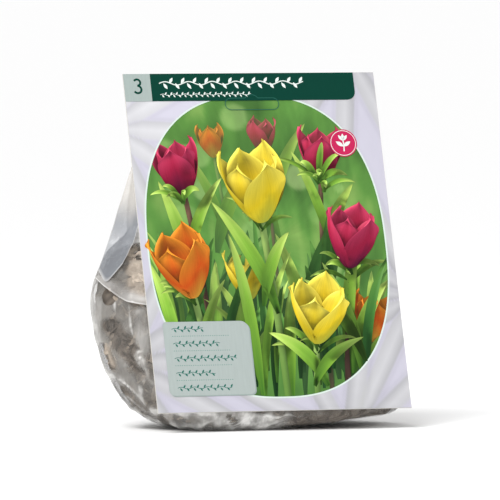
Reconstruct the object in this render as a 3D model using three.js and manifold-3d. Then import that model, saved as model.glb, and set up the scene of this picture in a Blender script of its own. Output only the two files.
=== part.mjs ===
// A retail pack of three large flower bulbs, standing on a table. A clear film bag holds the bulbs in
// loose wood shavings. Its flattened mouth is taped to the back of a tall printed card, which leans
// back on the full bag. The bulbs are of the 20/24 size: 20 to 24 cm round, so 64 to 76 mm across.
//
// Millimetres, +Z up. The card faces -Y. The origin is at the middle of the pack's bounding box in
// X and Y, on the table.

import * as THREE from "three";
import { mergeVertices } from "three/addons/utils/BufferGeometryUtils.js";
import Module from "manifold-3d";

const wasm = await Module();
wasm.setup();

// ---------------------------------------------------------------- driving dimensions

const GAP = 0.3; // between pieces that touch
const FILL_CLEARANCE = 1.2; // between the film and the loose fill
const MERGE_TOLERANCE = 1e-4;

// The card: 400 g/m2 folding board, seen from the front as a plain rectangle.
const CARD_WIDTH = 150;
const CARD_HEIGHT = 200;
const CARD_THICKNESS = 0.5;
const CARD_LEAN = THREE.MathUtils.degToRad(19.9); // back from upright
const CARD_FOOT = 11.5; // height of its lower edge above the table

// The hang hole is a standard euro slot whose tab is still in place, held by nicks.
const SLOT_WIDTH = 32;
const SLOT_HEIGHT = 7;
const SLOT_BUMP_RADIUS = 4.6;
const SLOT_BUMP_RISE = 2;
const SLOT_TOP_BELOW_EDGE = 15;
const SLIT = 0.3; // width of the die cut round the tab
const NICK = 1.2;
const ARC_STEPS = 8;

// The strip of double-sided tape that holds the bag's mouth on the card.
const TAPE_WIDTH = 104;
const TAPE_HEIGHT = 12;
const TAPE_THICKNESS = 0.4;
const TAPE_CENTRE_HEIGHT = 168; // along the card, from its lower edge

// The bag. Its film is 0.05 mm thick and is drawn with a WALL that solids can hold.
const WALL = 0.8;
const BAG_SEGMENTS = 36;
const FRONT_FLATNESS = 6; // the front pane lies flat on the card
const BACK_FLATNESS = 5;
const CREASE_DEPTH = 0.45; // where the side creases lie, from the front pane to the back one
const WIDEST = 70; // height of the widest level
const CAVITY_TOP = 163;
const MOUTH_TOP = 178;

// The filled bag's outline, as [height above the table, place]. Left and right are X of the side
// creases from the card's centre line. Back is Y of the back pane and tuck how far the front pane
// stays behind the card, both from the card's lower front edge.
const LEFT_EDGE = [
  [0, -52],
  [3.5, -65],
  [9, -75],
  [15, -80.5],
  [25, -86.5],
  [44, -94],
  [70, -97],
  [88, -91.5],
  [100, -86],
  [146, -73],
  [178, -64],
];
const RIGHT_EDGE = [
  [0, 18],
  [2.2, 32],
  [3.4, 45],
  [4.6, 58],
  [6.2, 70],
  [8.5, 77],
  [11.5, 80.5],
  [18, 82],
  [60, 83],
  [90, 78],
  [146, 64],
  [178, 58],
];
const BACK_WALL = [
  [0, 66],
  [4, 78],
  [14, 87],
  [54, 94],
  [84, 99],
  [108, 97],
  [146, 68],
  [158, 61],
  [168, 60],
  [178, 63.5],
];
const FRONT_TUCK = [
  [0, 15],
  [4, 7],
  [9, 2.5],
  [16, 0],
  [178, 0],
];
const BAG_LEVELS = [
  0, 1.5, 3, 5, 8, 12, 18, 26, 36, 47, 58, 70, 80, 92, 106, 120, 134, 146, 156, 166, 178,
];
const MOUTH_THICKNESS = 1.6;
const MOUTH_FROM = 166; // above this height the two panes lie flat on each other

// Ventilation holes in both panes, as rows of [height, places in X from the card's centre line].
const VENT_DIAMETER = 11.6;
const VENT_SEGMENTS = 16;
const PUNCH_LENGTH = 10;
const VENT_ROWS = [
  [75, [-88.5, -36.5, 15.5, 67.5]],
  [120, [-36.5, 15.5]],
];

// Half of a bulb's outline, as shares of its radius and its half height: a flattened globe on a root
// plate, up to its lip, and then the pit that the old stem leaves on top.
const BULB_OUTLINE = [
  [0.24, -0.98],
  [0.62, -0.86],
  [0.93, -0.42],
  [1, 0.05],
  [0.88, 0.56],
  [0.55, 0.92],
  [0.26, 1],
  [0.15, 0.82],
  [0.1, 0.55],
];
const LIP = 6; // its place in the outline
const STEPS_A_POINT = 2;
const BULB_SEGMENTS = 26;

// The bulbs, placed by their centres from the card's centre line and lower front edge. Two lie side
// by side, and the third lies on both, on its side.
const BULBS = [
  { name: "bulb_left", diameter: 69.2, height: 56, centre: [-43.8, 52, 38], tilt: [-0.2, -0.2] },
  { name: "bulb_right", diameter: 68, height: 55, centre: [25, 51.5, 36], tilt: [-0.25, 0.15] },
  { name: "bulb_upper", diameter: 66, height: 52, centre: [-6.4, 66.5, 90.6], tilt: [1.25, 0.3] },
];

// The shavings fill the bag round the bulbs up to this height.
const FILL_TOP = 104;

// ---------------------------------------------------------------- geometry helpers

// A closed geometry as a manifold-3d solid.
function solidOf(geometry) {
  const bare = geometry.clone();
  bare.deleteAttribute("normal");
  bare.deleteAttribute("uv");
  const merged = mergeVertices(bare, MERGE_TOLERANCE);
  return new wasm.Manifold(
    new wasm.Mesh({
      numProp: 3,
      vertProperties: merged.attributes.position.array,
      triVerts: new Uint32Array(merged.index.array),
    }),
  );
}

function geometryOf(solid) {
  const mesh = solid.getMesh();
  const geometry = new THREE.BufferGeometry();
  geometry.setAttribute("position", new THREE.BufferAttribute(mesh.vertProperties, 3));
  geometry.setIndex(new THREE.BufferAttribute(mesh.triVerts, 1));
  geometry.computeVertexNormals();
  return geometry;
}

// The value at height z of a smooth curve through [height, value] points.
function along(points, z) {
  const last = points.length - 1;
  const found = points.findIndex(([height]) => height > z);
  const i = found < 0 ? last - 1 : Math.max(found - 1, 0);
  const slope = (a, b) => (points[b][1] - points[a][1]) / (points[b][0] - points[a][0]);
  const here = slope(i, i + 1);
  // A tangent is the mean of the slopes on both sides, or zero where they differ in sign.
  const tangent = (a, b) => (a * b > 0 ? (2 * a * b) / (a + b) : 0);
  const before = i > 0 ? tangent(slope(i - 1, i), here) : here;
  const after = i + 1 < last ? tangent(here, slope(i + 1, i + 2)) : here;
  const span = points[i + 1][0] - points[i][0];
  const t = THREE.MathUtils.clamp((z - points[i][0]) / span, 0, 1);
  const [h00, h10] = [(1 + 2 * t) * (1 - t) ** 2, t * (1 - t) ** 2];
  const [h01, h11] = [t * t * (3 - 2 * t), t * t * (t - 1)];
  return h00 * points[i][1] + h10 * span * before + h01 * points[i + 1][1] + h11 * span * after;
}

// ---------------------------------------------------------------- the card

// Y of the card's back face at height z.
function cardBack(z) {
  return (z - CARD_FOOT) * Math.tan(CARD_LEAN) + CARD_THICKNESS / Math.cos(CARD_LEAN);
}

// The outline of a euro slot, taken in by inset on every side. Its top is at y = 0.
function euroSlot(inset) {
  const half = SLOT_WIDTH / 2 - inset;
  const top = -inset;
  const bottom = -SLOT_HEIGHT + inset;
  const end = (top - bottom) / 2;
  const bump = SLOT_BUMP_RADIUS - inset;
  const bumpCentre = SLOT_BUMP_RISE - SLOT_BUMP_RADIUS;
  const reach = Math.acos((top - bumpCentre) / bump); // half the angle that the bump spans
  const upright = Math.PI / 2;
  const shape = new THREE.Shape();
  shape.moveTo(-half + end, bottom);
  shape.absarc(half - end, bottom + end, end, -upright, upright, false);
  shape.absarc(0, bumpCentre, bump, upright - reach, upright + reach, false);
  shape.absarc(-half + end, bottom + end, end, upright, upright + Math.PI, false);
  return shape;
}

// A flat shape as a slab, drawn in X and Z, with its front face at y = 0.
function slab(shape, thickness) {
  const options = { depth: thickness, bevelEnabled: false, curveSegments: ARC_STEPS };
  return new THREE.ExtrudeGeometry(shape, options).rotateX(Math.PI / 2).translate(0, thickness, 0);
}

// The die cut round the tab: a thin slit, broken by a nick at each end and one below.
function dieCut() {
  const through = CARD_THICKNESS * 3;
  const ring = solidOf(slab(euroSlot(0), through)).subtract(solidOf(slab(euroSlot(SLIT), through)));
  const ends = new THREE.BoxGeometry(SLOT_WIDTH * 2, through * 2, NICK);
  const below = new THREE.BoxGeometry(NICK, through * 2, SLOT_HEIGHT);
  return ring
    .subtract(solidOf(ends.translate(0, 0, -SLOT_HEIGHT / 2)))
    .subtract(solidOf(below.translate(0, 0, -SLOT_HEIGHT)))
    .translate([0, -CARD_THICKNESS, CARD_HEIGHT - SLOT_TOP_BELOW_EDGE]);
}

// The card in its own plane: its lower edge on z = 0, its front face on y = 0.
function cardGeometry() {
  const board = new THREE.BoxGeometry(CARD_WIDTH, CARD_THICKNESS, CARD_HEIGHT);
  board.translate(0, CARD_THICKNESS / 2, CARD_HEIGHT / 2);
  return geometryOf(solidOf(board).subtract(dieCut()));
}

function tapeGeometry() {
  const strip = new THREE.BoxGeometry(TAPE_WIDTH, TAPE_THICKNESS, TAPE_HEIGHT);
  return strip.translate(0, CARD_THICKNESS + GAP + TAPE_THICKNESS / 2, TAPE_CENTRE_HEIGHT);
}

// ---------------------------------------------------------------- the bag and its fill

// Y of the front and back panes at height z, where the film is widest apart. Level is the height at
// which their outlines are read.
function panes(z, level) {
  const behindCard = (2 * GAP + TAPE_THICKNESS) / Math.cos(CARD_LEAN);
  const front = cardBack(z) + behindCard + along(FRONT_TUCK, level);
  const back = z < MOUTH_FROM ? along(BACK_WALL, level) : 0;
  return [front, Math.max(back, front + MOUTH_THICKNESS)];
}

// X of the side creases at a level, taken in by inset.
function creases(level, inset) {
  return [along(LEFT_EDGE, level) + inset, along(RIGHT_EDGE, level) - inset];
}

// A place on the bag at height z. Across runs from -1 at the left crease to 1 at the right one. The
// inset moves it inwards from the outside of the film: sideways, and towards the widest level.
function bagPlace(across, onFront, z, inset = 0) {
  const level = z < WIDEST ? z - inset : z + inset;
  const [left, right] = creases(level, inset);
  const [front, back] = panes(z, level);
  const crease = THREE.MathUtils.lerp(front, back, CREASE_DEPTH);
  const pane = onFront ? front + inset : back - inset;
  const bulge = 1 - Math.abs(across) ** (onFront ? FRONT_FLATNESS : BACK_FLATNESS);
  const x = (left + right) / 2 + ((right - left) / 2) * across;
  return new THREE.Vector3(x, THREE.MathUtils.lerp(crease, pane, bulge), z);
}

// One ring of the bag at height z, counter-clockwise from its right side crease.
function bagRing(z, inset) {
  return Array.from({ length: BAG_SEGMENTS }, (_, i) => {
    const angle = (2 * Math.PI * i) / BAG_SEGMENTS;
    return bagPlace(Math.cos(angle), Math.sin(angle) < 0, z, inset);
  });
}

// A closed body through level rings, from the lowest to the highest.
function loft(rings) {
  const count = rings[0].length;
  const centre = (ring) => ring.reduce((sum, p) => sum.add(p), new THREE.Vector3()).divideScalar(count);
  const points = [...rings.flat(), centre(rings[0]), centre(rings[rings.length - 1])];
  const bottom = points.length - 2;
  const top = points.length - 1;
  const index = [];
  for (let i = 0; i < count; i++) {
    const next = (i + 1) % count;
    for (let level = 0; level + 1 < rings.length; level++) {
      const [a, b] = [level * count + i, level * count + next];
      index.push(a, b, b + count, a, b + count, a + count);
    }
    index.push(bottom, next, i);
    index.push(top, (rings.length - 1) * count + i, (rings.length - 1) * count + next);
  }
  return new THREE.BufferGeometry().setFromPoints(points).setIndex(index);
}

// The bag's shape from one height to another, taken in by inset.
function bagBody(inset, from, to) {
  const between = BAG_LEVELS.filter((z) => z > from + inset && z < to - inset);
  return solidOf(loft([from, ...between, to].map((z) => bagRing(z, inset))));
}

// A punch for one hole, square to the film at its place.
function punch(x, z, onFront) {
  const [left, right] = creases(z, 0);
  const across = (2 * x - left - right) / (right - left);
  const centre = bagPlace(across, onFront, z);
  const sideways = bagPlace(across + 0.01, onFront, z).sub(centre);
  const upwards = bagPlace(across, onFront, z + 1).sub(centre);
  const axis = sideways.cross(upwards).normalize();
  const turn = new THREE.Quaternion().setFromUnitVectors(new THREE.Vector3(0, 1, 0), axis);
  const radius = VENT_DIAMETER / 2;
  const tool = new THREE.CylinderGeometry(radius, radius, PUNCH_LENGTH, VENT_SEGMENTS);
  return solidOf(tool.applyQuaternion(turn).translate(...centre));
}

function ventHoles() {
  const pairs = ([z, places]) => places.flatMap((x) => [punch(x, z, true), punch(x, z, false)]);
  return VENT_ROWS.flatMap(pairs).reduce((all, one) => all.add(one));
}

function bagGeometry() {
  const film = bagBody(0, 0, MOUTH_TOP).subtract(bagBody(WALL, WALL, CAVITY_TOP));
  return geometryOf(film.subtract(ventHoles()));
}

// A bulb, or without its pit the hollow that it leaves in what it lies in.
function bulbGeometry({ diameter, height }, { clearance = 0, pit = true } = {}) {
  const radius = diameter / 2 + clearance;
  const half = height / 2 + clearance;
  const curve = new THREE.SplineCurve(
    BULB_OUTLINE.map(([r, z]) => new THREE.Vector2(r * radius, z * half)),
  );
  const points = curve.getPoints((BULB_OUTLINE.length - 1) * STEPS_A_POINT);
  const side = pit ? points : points.slice(0, LIP * STEPS_A_POINT + 1);
  const foot = new THREE.Vector2(0, -half);
  const top = new THREE.Vector2(0, side[side.length - 1].y);
  return new THREE.LatheGeometry([foot, ...side, top], BULB_SEGMENTS).rotateX(Math.PI / 2);
}

// A bulb's place in the bag.
function bulbPlace({ centre, tilt }) {
  const turn = new THREE.Euler(tilt[0], tilt[1], 0);
  return new THREE.Matrix4().makeRotationFromEuler(turn).setPosition(...centre);
}

// The hollow that a bulb leaves in the fill.
function hollow(bulb) {
  const room = bulbGeometry(bulb, { clearance: GAP, pit: false });
  return solidOf(room.applyMatrix4(bulbPlace(bulb)));
}

// The hollows run into each other where the bulbs touch, and the upper one is open at the top.
function fillGeometry() {
  const inset = WALL + FILL_CLEARANCE;
  const full = bagBody(inset, inset, FILL_TOP);
  return geometryOf(BULBS.reduce((fill, bulb) => fill.subtract(hollow(bulb)), full));
}

// ---------------------------------------------------------------- the pack

function material(color, roughness, extra = {}) {
  return new THREE.MeshStandardMaterial({ color, roughness, metalness: 0, ...extra });
}

function named(name, geometry, finish) {
  const mesh = new THREE.Mesh(geometry, finish);
  mesh.name = name;
  return mesh;
}

const board = material(0xe2e0e8, 0.35);
const film = material(0xb9b6b0, 0.12, { transparent: true, opacity: 0.4 });
const adhesive = material(0xd9d4bd, 0.4, { transparent: true, opacity: 0.7 });
const skin = material(0xb49a78, 0.7);
const shavings = material(0xa58e6c, 0.9);

const leaning = new THREE.Group();
leaning.rotation.x = -CARD_LEAN;
leaning.position.z = CARD_FOOT;
leaning.add(named("printed_card", cardGeometry(), board));
leaning.add(named("tape_strip", tapeGeometry(), adhesive));

const contents = new THREE.Group();
for (const bulb of BULBS) {
  const mesh = named(bulb.name, bulbGeometry(bulb), skin);
  mesh.applyMatrix4(bulbPlace(bulb));
  contents.add(mesh);
}
contents.add(named("wood_shavings", fillGeometry(), shavings));

// The pack from the card's centre line and lower front edge, moved so that its box is centred.
const pack = new THREE.Group();
pack.add(leaning, named("film_bag", bagGeometry(), film), contents);
pack.updateMatrixWorld(true);
const box = new THREE.Box3().setFromObject(pack, true);
pack.position.set(-(box.min.x + box.max.x) / 2, -(box.min.y + box.max.y) / 2, 0);
pack.updateMatrixWorld(true);

export default pack;
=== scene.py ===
"""Looks of a retail pack of flower bulbs: a printed card in front of a clear film bag.

Everything is in metres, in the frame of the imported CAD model. The card leans back on the bag, so
places on it are given in card coordinates: u to the right of its centre line, v up from its lower
edge, and out, the distance in front of its printed face.
"""

import math
import random

import bmesh
import bpy
import numpy as np
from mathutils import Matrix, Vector, geometry, noise
from mathutils.bvhtree import BVHTree


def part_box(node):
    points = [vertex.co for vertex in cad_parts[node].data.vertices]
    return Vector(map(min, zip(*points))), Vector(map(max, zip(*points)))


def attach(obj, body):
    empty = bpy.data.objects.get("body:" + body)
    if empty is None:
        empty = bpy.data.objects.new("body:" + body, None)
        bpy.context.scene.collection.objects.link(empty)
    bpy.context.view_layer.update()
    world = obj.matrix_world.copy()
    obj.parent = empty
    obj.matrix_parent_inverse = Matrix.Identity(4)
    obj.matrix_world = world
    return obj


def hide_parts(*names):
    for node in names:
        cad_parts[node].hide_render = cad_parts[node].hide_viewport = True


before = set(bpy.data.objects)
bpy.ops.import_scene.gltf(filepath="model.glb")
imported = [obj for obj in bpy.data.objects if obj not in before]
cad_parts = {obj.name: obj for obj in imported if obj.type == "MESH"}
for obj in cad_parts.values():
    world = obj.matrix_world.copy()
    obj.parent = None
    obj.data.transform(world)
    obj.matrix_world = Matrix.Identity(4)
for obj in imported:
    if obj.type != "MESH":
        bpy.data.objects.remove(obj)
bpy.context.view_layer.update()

MM = 0.001

# ---------------------------------------------------------------- driving dimensions

CARD_WIDTH = 150 * MM
CARD_HEIGHT = 200 * MM
CARD_THICKNESS = 0.5 * MM
CARD_LEAN = math.radians(19.9)

# The camera stands far off, in front of the pack and to its left, a little above its middle.
CAMERA_AZIMUTH = math.radians(-17.9)
CAMERA_ELEVATION = math.radians(2.73)
CAMERA_DISTANCE = 4.0
SENSOR = 36  # mm
FRAME_WIDTH = 500 / 1768  # metres that the frame's width spans at the card
AIM_LEFT = 9.56 * MM  # from the card's centre to the frame's centre
AIM_DOWN = 5.26 * MM


# ---------------------------------------------------------------- card coordinates

card_low, card_high = (Vector(corner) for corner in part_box("printed_card"))
CARD_RIGHT = Vector((1, 0, 0))
CARD_UP = Vector((0, math.sin(CARD_LEAN), math.cos(CARD_LEAN)))
CARD_OUT = CARD_RIGHT.cross(CARD_UP)
CARD_FOOT = Vector((
    (card_low.x + card_high.x) / 2,
    card_low.y,
    card_low.z + CARD_THICKNESS * math.sin(CARD_LEAN),
))


def on_card(u, v, out=0.0):
    """The place of a point in card coordinates."""
    return CARD_FOOT + CARD_RIGHT * u + CARD_UP * v + CARD_OUT * out


# ---------------------------------------------------------------- shared mesh helpers

def add_object(name, data):
    added = bpy.data.objects.new(name, data)
    bpy.context.collection.objects.link(added)
    return added


def make_mesh(name, verts, faces):
    mesh = bpy.data.meshes.new(name)
    mesh.from_pydata([tuple(v) for v in verts], [], [tuple(f) for f in faces])
    mesh.update()
    return mesh


def level_square(name, half):
    """A square at floor level, from its middle out to half."""
    corners = [(-half, -half, 0), (half, -half, 0), (half, half, 0), (-half, half, 0)]
    return make_mesh(name, corners, [(0, 1, 2, 3)])


def new_piece(name, verts, faces, stands_for=()):
    """A mesh object that rides on the pack's one body."""
    piece = add_object(name, make_mesh(name, verts, faces))
    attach(piece, "root")
    if stands_for:
        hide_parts(*stands_for)
    return piece


def grid_faces(rows, columns, closed=True, start=0):
    """Quads between rows of points. A closed grid joins each row's last point to its first."""
    across = columns if closed else columns - 1
    faces = []
    for r in range(rows - 1):
        for c in range(across):
            a = start + r * columns + c
            b = start + r * columns + (c + 1) % columns
            faces.append((a, b, b + columns, a + columns))
    return faces


def capped_faces(rows, columns, start=0):
    """A closed grid, with one face over its first row and one over its last."""
    first = range(start, start + columns)
    last = range(start + (rows - 1) * columns, start + rows * columns)
    return grid_faces(rows, columns, start=start) + [tuple(reversed(first)), tuple(last)]


def flipped(faces):
    return [tuple(reversed(face)) for face in faces]


def vectors(items, key):
    """A row of three numbers for each of a mesh's items."""
    flat = np.empty(len(items) * 3)
    items.foreach_get(key, flat)
    return flat.reshape(-1, 3)


def mesh_points(mesh):
    return vectors(mesh.vertices, "co")


def set_points(mesh, points):
    mesh.vertices.foreach_set("co", np.asarray(points, float).ravel())
    mesh.update()


def push_out(mesh, distances):
    """Moves each point along its own normal."""
    normals = vectors(mesh.vertex_normals, "vector")
    set_points(mesh, mesh_points(mesh) + normals * distances[:, None])


def set_values(mesh, name, values):
    """A number for each vertex, which materials read by name."""
    layer = mesh.attributes.new(name, "FLOAT", "POINT")
    layer.data.foreach_set("value", np.asarray(values, np.float32))


def dress(mesh, material):
    """Smooth shading and one material."""
    mesh.polygons.foreach_set("use_smooth", [True] * len(mesh.polygons))
    mesh.materials.clear()
    mesh.materials.append(material)


def apply_modifiers(piece):
    """Leaves the piece's mesh as its modifiers make it, without them."""
    shown = piece.evaluated_get(bpy.context.evaluated_depsgraph_get())
    mesh = bpy.data.meshes.new_from_object(shown)
    piece.modifiers.clear()
    piece.data = mesh
    return mesh


def tree_of(*meshes):
    """One search tree over several meshes."""
    verts, faces = [], []
    for mesh in meshes:
        first = len(verts)
        verts += [v.co.copy() for v in mesh.vertices]
        faces += [[first + i for i in p.vertices] for p in mesh.polygons]
    return BVHTree.FromPolygons(verts, faces)


def smoothstep(low, high, value):
    t = np.clip((value - low) / (high - low), 0, 1)
    return t * t * (3 - 2 * t)


def curve(start, bend, end, count):
    """Points along a quadratic curve that heads for bend on its way from start to end."""
    t = np.linspace(0, 1, count)[:, None]
    return (1 - t) ** 2 * np.array(start) + 2 * t * (1 - t) * np.array(bend) + t**2 * np.array(end)


def facing(azimuth, elevation):
    """The way from the pack to a camera or a light at these angles."""
    level = math.cos(elevation)
    return Vector((math.sin(azimuth) * level, -math.cos(azimuth) * level, math.sin(elevation)))


# ---------------------------------------------------------------- shared node helpers

class Nodes:
    """Short calls for building one material's node tree."""

    def __init__(self, name):
        self.material = bpy.data.materials.new(name)
        self.material.use_nodes = True
        self.tree = self.material.node_tree
        self.shader = self.tree.nodes["Principled BSDF"]
        self.output = self.tree.nodes["Material Output"]

    def feed(self, socket, value):
        """Links an output to a socket, or sets the socket's own value."""
        if isinstance(value, bpy.types.NodeSocket):
            self.tree.links.new(value, socket)
        else:
            socket.default_value = value

    def node(self, kind, inputs=(), **settings):
        """A new node with these settings, fed with a value or an output for each input named."""
        node = self.tree.nodes.new(kind)
        for name, value in settings.items():
            setattr(node, name, value)
        for name, value in dict(inputs).items():
            self.feed(node.inputs[name], value)
        return node

    def math(self, operation, a, b):
        return self.node("ShaderNodeMath", {0: a, 1: b}, operation=operation).outputs[0]

    def total(self, first, *others):
        for value in others:
            first = self.math("ADD", first, value)
        return first

    def mix(self, share, a, b):
        """Colour a where share is 0, and b where it is 1."""
        node = self.node("ShaderNodeMix", {"Factor": share}, data_type="RGBA")
        colours = [socket for socket in node.inputs if socket.type == "RGBA"]
        for socket, colour in zip(colours, (a, b)):
            self.feed(socket, colour)
        return next(socket for socket in node.outputs if socket.type == "RGBA")

    def span(self, value, low, high, out_low=0.0, out_high=1.0):
        """Maps low and high to out_low and out_high, and holds the value between those."""
        limits = {"From Min": low, "From Max": high, "To Min": out_low, "To Max": out_high}
        return self.node("ShaderNodeMapRange", {"Value": value, **limits}).outputs["Result"]

    def attribute(self, name, output="Fac"):
        return self.node("ShaderNodeAttribute", attribute_name=name).outputs[output]

    def texture(self, vector, scale, detail=3.0, roughness=0.5, distortion=0.0, kind="FBM"):
        """A noise value from 0 to 1 over a vector that is first multiplied by scale."""
        scaled = self.node("ShaderNodeMapping", {"Vector": vector, "Scale": scale}).outputs["Vector"]
        inputs = {"Vector": scaled, "Scale": 1.0, "Detail": detail, "Roughness": roughness}
        inputs["Distortion"] = distortion
        return self.node("ShaderNodeTexNoise", inputs, noise_type=kind).outputs["Fac"]

    def noise(self, size, detail, distortion=0.0, stretch=(1, 1, 1), kind="FBM"):
        """A noise value with features about size millimetres across."""
        place = self.node("ShaderNodeTexCoord").outputs["Object"]
        scale = [1000 * (s / size) for s in stretch]
        return self.texture(place, scale, detail, 0.55, distortion, kind)

    def paint(self, colour, roughness):
        self.feed(self.shader.inputs["Base Color"], colour)
        self.feed(self.shader.inputs["Roughness"], roughness)

    def bump(self, height, strength, distance):
        inputs = {"Height": height, "Strength": strength, "Distance": distance}
        normal = self.node("ShaderNodeBump", inputs).outputs["Normal"]
        self.feed(self.shader.inputs["Normal"], normal)


# ---------------------------------------------------------------- film bag

FILM_COLUMNS = 144  # points round the bag before it is subdivided
FILM_ROW = 3.1 * MM  # between rows of points
FOOT_ROWS = [0.15, 1.2, 3.2, 5.8, 8.8]  # heights of the lowest rows, in mm
FLOOR_RINGS = (0.1, 0.28, 0.46, 0.62, 0.77, 0.9)  # of the way from the base's middle to its edge
FREE_BELOW = 140 * MM  # the film moves freely up to here
HELD_ABOVE = 166 * MM  # and the welded mouth starts here
HELD_BELOW = 11 * MM  # the underside keeps its shape
FREE_ABOVE = 24 * MM  # and the film is free from here
SLACK = 0.05  # spare film, as a share of its size
SIM_FRAMES = 26
# Patches and creases of the bag's front are drawn on an upright plane that faces the camera's side.
# A place on it is (along, up) in mm.
DRAWING_PLANE = (math.cos(CAMERA_AZIMUTH), math.sin(CAMERA_AZIMUTH))
# Where the film clings to its contents (1) or stands off them (-1): both ends of each patch, its radius,
# and how pale the contents are there, from 0 to 1. Stand-off film is painted pale: painted highlights.
# Some pale tones paint cream highlights on the shavings, and the last patch paints the card's shadow
# dark along the foot.
PATCHES = [
    ((-52, 7), (12, 4), 7.0, -0.8, 0.5),
    ((-86, 72), (-85, 46), 4.0, -0.25, 0.5),
    ((-60, 66), (-58, 46), 4.0, -0.3, 0.5),
    ((-76, 58), (-61, 37), 6.0, 1, 0.0),
    ((-73, 24), (-67, 17), 4.0, 1, 0.1),
    ((-64, 108), (-61, 76), 6.5, 1, 0.9),
    ((-66, 121), (-62, 109), 5.5, -0.6, 0.7),
    ((-81, 45), (-76, 36), 3.2, 1, 1.0),
    ((-61, 43), (-57, 36), 2.6, -0.3, 0.5),
    ((-76, 31), (-71, 27), 2.6, -0.2, 0.5),
    ((-66, 17), (-57, 10), 3.0, 0.3, 0.4),
    ((-49, 8), (-44, 2), 2.0, 0.1, 0.3),
    ((-41, 7), (-34, 2), 4.0, -0.75, 1.0),
    ((-29, 4), (-27, 1), 2.6, -1, 0.5),
    ((-24, 8), (-19, 6), 2.5, -0.7, 0.4),
    ((-22, 2), (-12, 1), 3.2, -0.45, 1.0),
    ((-10, 9), (-5, 4), 1.2, 0.6, 0.1),
    ((-2, 7), (15, 4), 4.5, -1, 0.5),
    ((18, 2), (24, 8), 2.5, -0.4, 0.4),
    ((30, 4), (84, 9), 7.0, 0.95, 0.03),
]
# Sharp creases: start, bend and end of each, and how high it stands in mm. The film's material also
# paints them lighter: a painted highlight.
CREASES = [
    ((-74, 75), (-74.5, 70), (-74, 65), 0.5),
    ((-66, 72), (-67, 61), (-61, 46), 0.6),
    ((-63, 43), (-60, 45), (-57, 46), 0.6),
    ((-63, 43), (-60, 42), (-57, 39), 0.6),
    ((-63, 42), (-61, 39), (-60, 34), 0.6),
    ((-79, 31), (-66, 28), (-57, 15), 0.8),
    ((-76, 25), (-67, 20), (-54, 8), 0.9),
    ((-72, 18), (-60, 9), (-46, 3), 0.7),
    ((-38, 1), (-32, 6), (-29, 1), 0.6),
    ((-29, 1), (-24, 5), (-18, 7), 0.7),
    ((-8, 2), (-4, 6), (5, 9), 0.6),
    ((5, 1), (13, 4), (21, 6), 0.6),
]
CREASE_WIDTH = 1.4  # from a crease's ridge to its foot, in mm
SEAM_LEVELS = np.arange(1, 178, 8) * MM  # heights where the places of the side creases are read
# Where the foot's lower edge has a soft corner: its place along the plane, its drop and its half width.
FOOT_CORNERS = ((49, 1.3, 8), (79, 1.7, 9))
# Flat facets of the crumpled film: their size and how high the creases between them stand, in mm.
FACETS = ((17, 0.9), (7.5, 0.14))
# Blender's cloth settings for the film.
FILM_CLOTH = {
    "quality": 9,
    "mass": 0.02,
    "tension_stiffness": 40,
    "compression_stiffness": 40,
    "shear_stiffness": 10,
    "bending_stiffness": 0.02,
    "tension_damping": 20,
    "compression_damping": 20,
    "shear_damping": 5,
    "air_damping": 2,
    "shrink_min": -SLACK,
    "use_pressure": True,
    "uniform_pressure_force": -0.35,
}
# Straight creases of the doubled film: v where u is 0, the slope, and the width. They lift the film a
# little and are painted lighter: a painted highlight.
FLAP_CREASES = (
    (0.12, 0.13, 0.008),
    (0.33, -0.07, 0.006),
    (0.5, 0.1, 0.008),
    (0.7, -0.2, 0.008),
    (0.82, 0.05, 0.008),
)
# The pleat's straight creases, lifted and painted lighter in the same way.
PLEAT_CREASES = ((0.2, 0.05, 0.01), (0.45, -0.08, 0.012), (0.7, 0.1, 0.01))
FILL_COLUMNS = 84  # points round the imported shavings
FILL_DEPTH = 1.3 * MM  # from the bag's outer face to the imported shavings
FOOT_FILL_DEPTH = 0.8 * MM  # the same near the floor
FILL_SHOULDER = 14 * MM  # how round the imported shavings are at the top
FILM_GAP = 0.55 * MM  # the least room between the film and what it covers
BRIDGED = 3.5 * MM  # how deep a hollow doubled film spans without following it
PATCH_REACH = 12 * MM  # how far from the CAD outline the settled film is looked for
VENT_RADIUS = 5.8 * MM
VENT_DEPTH = 8 * MM  # how far a punch reaches to each side of the film
VENT_COLUMNS = [(-81.5 + 52 * k) * MM for k in range(4)]
VENTS = [(x, 75 * MM) for x in VENT_COLUMNS] + [(x, 120 * MM) for x in VENT_COLUMNS[1:3]]


def section(node, height, count):
    """A CAD node's outline at a height: count points, from its left crease round the front."""
    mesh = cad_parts[node].data
    points = mesh_points(mesh)
    mesh.calc_loop_triangles()
    corners = points[[list(t.vertices) for t in mesh.loop_triangles]]
    crossing = []
    for a, b in ((0, 1), (1, 2), (2, 0)):
        low, high = corners[:, a], corners[:, b]
        cut = (low[:, 2] - height) * (high[:, 2] - height) < 0
        low, high = low[cut], high[cut]
        share = (height - low[:, 2]) / (high[:, 2] - low[:, 2])
        crossing.append(low + (high - low) * share[:, None])
    flat = np.vstack(crossing)[:, :2]
    hull = flat[geometry.convex_hull_2d([tuple(p) for p in flat])]  # anticlockwise from above
    hull = np.roll(hull, -int(hull[:, 0].argmin()), axis=0)
    closed = np.vstack([hull, hull[:1]])
    travelled = np.concatenate([[0], np.cumsum(np.linalg.norm(np.diff(closed, axis=0), axis=1))])
    turn = travelled[int(hull[:, 0].argmax())]
    stops = np.concatenate([
        np.linspace(0, turn, count // 2, endpoint=False),
        np.linspace(turn, travelled[-1], count - count // 2, endpoint=False),
    ])
    return np.stack([
        np.interp(stops, travelled, closed[:, 0]),
        np.interp(stops, travelled, closed[:, 1]),
        np.full(count, height),
    ], axis=1)


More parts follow.
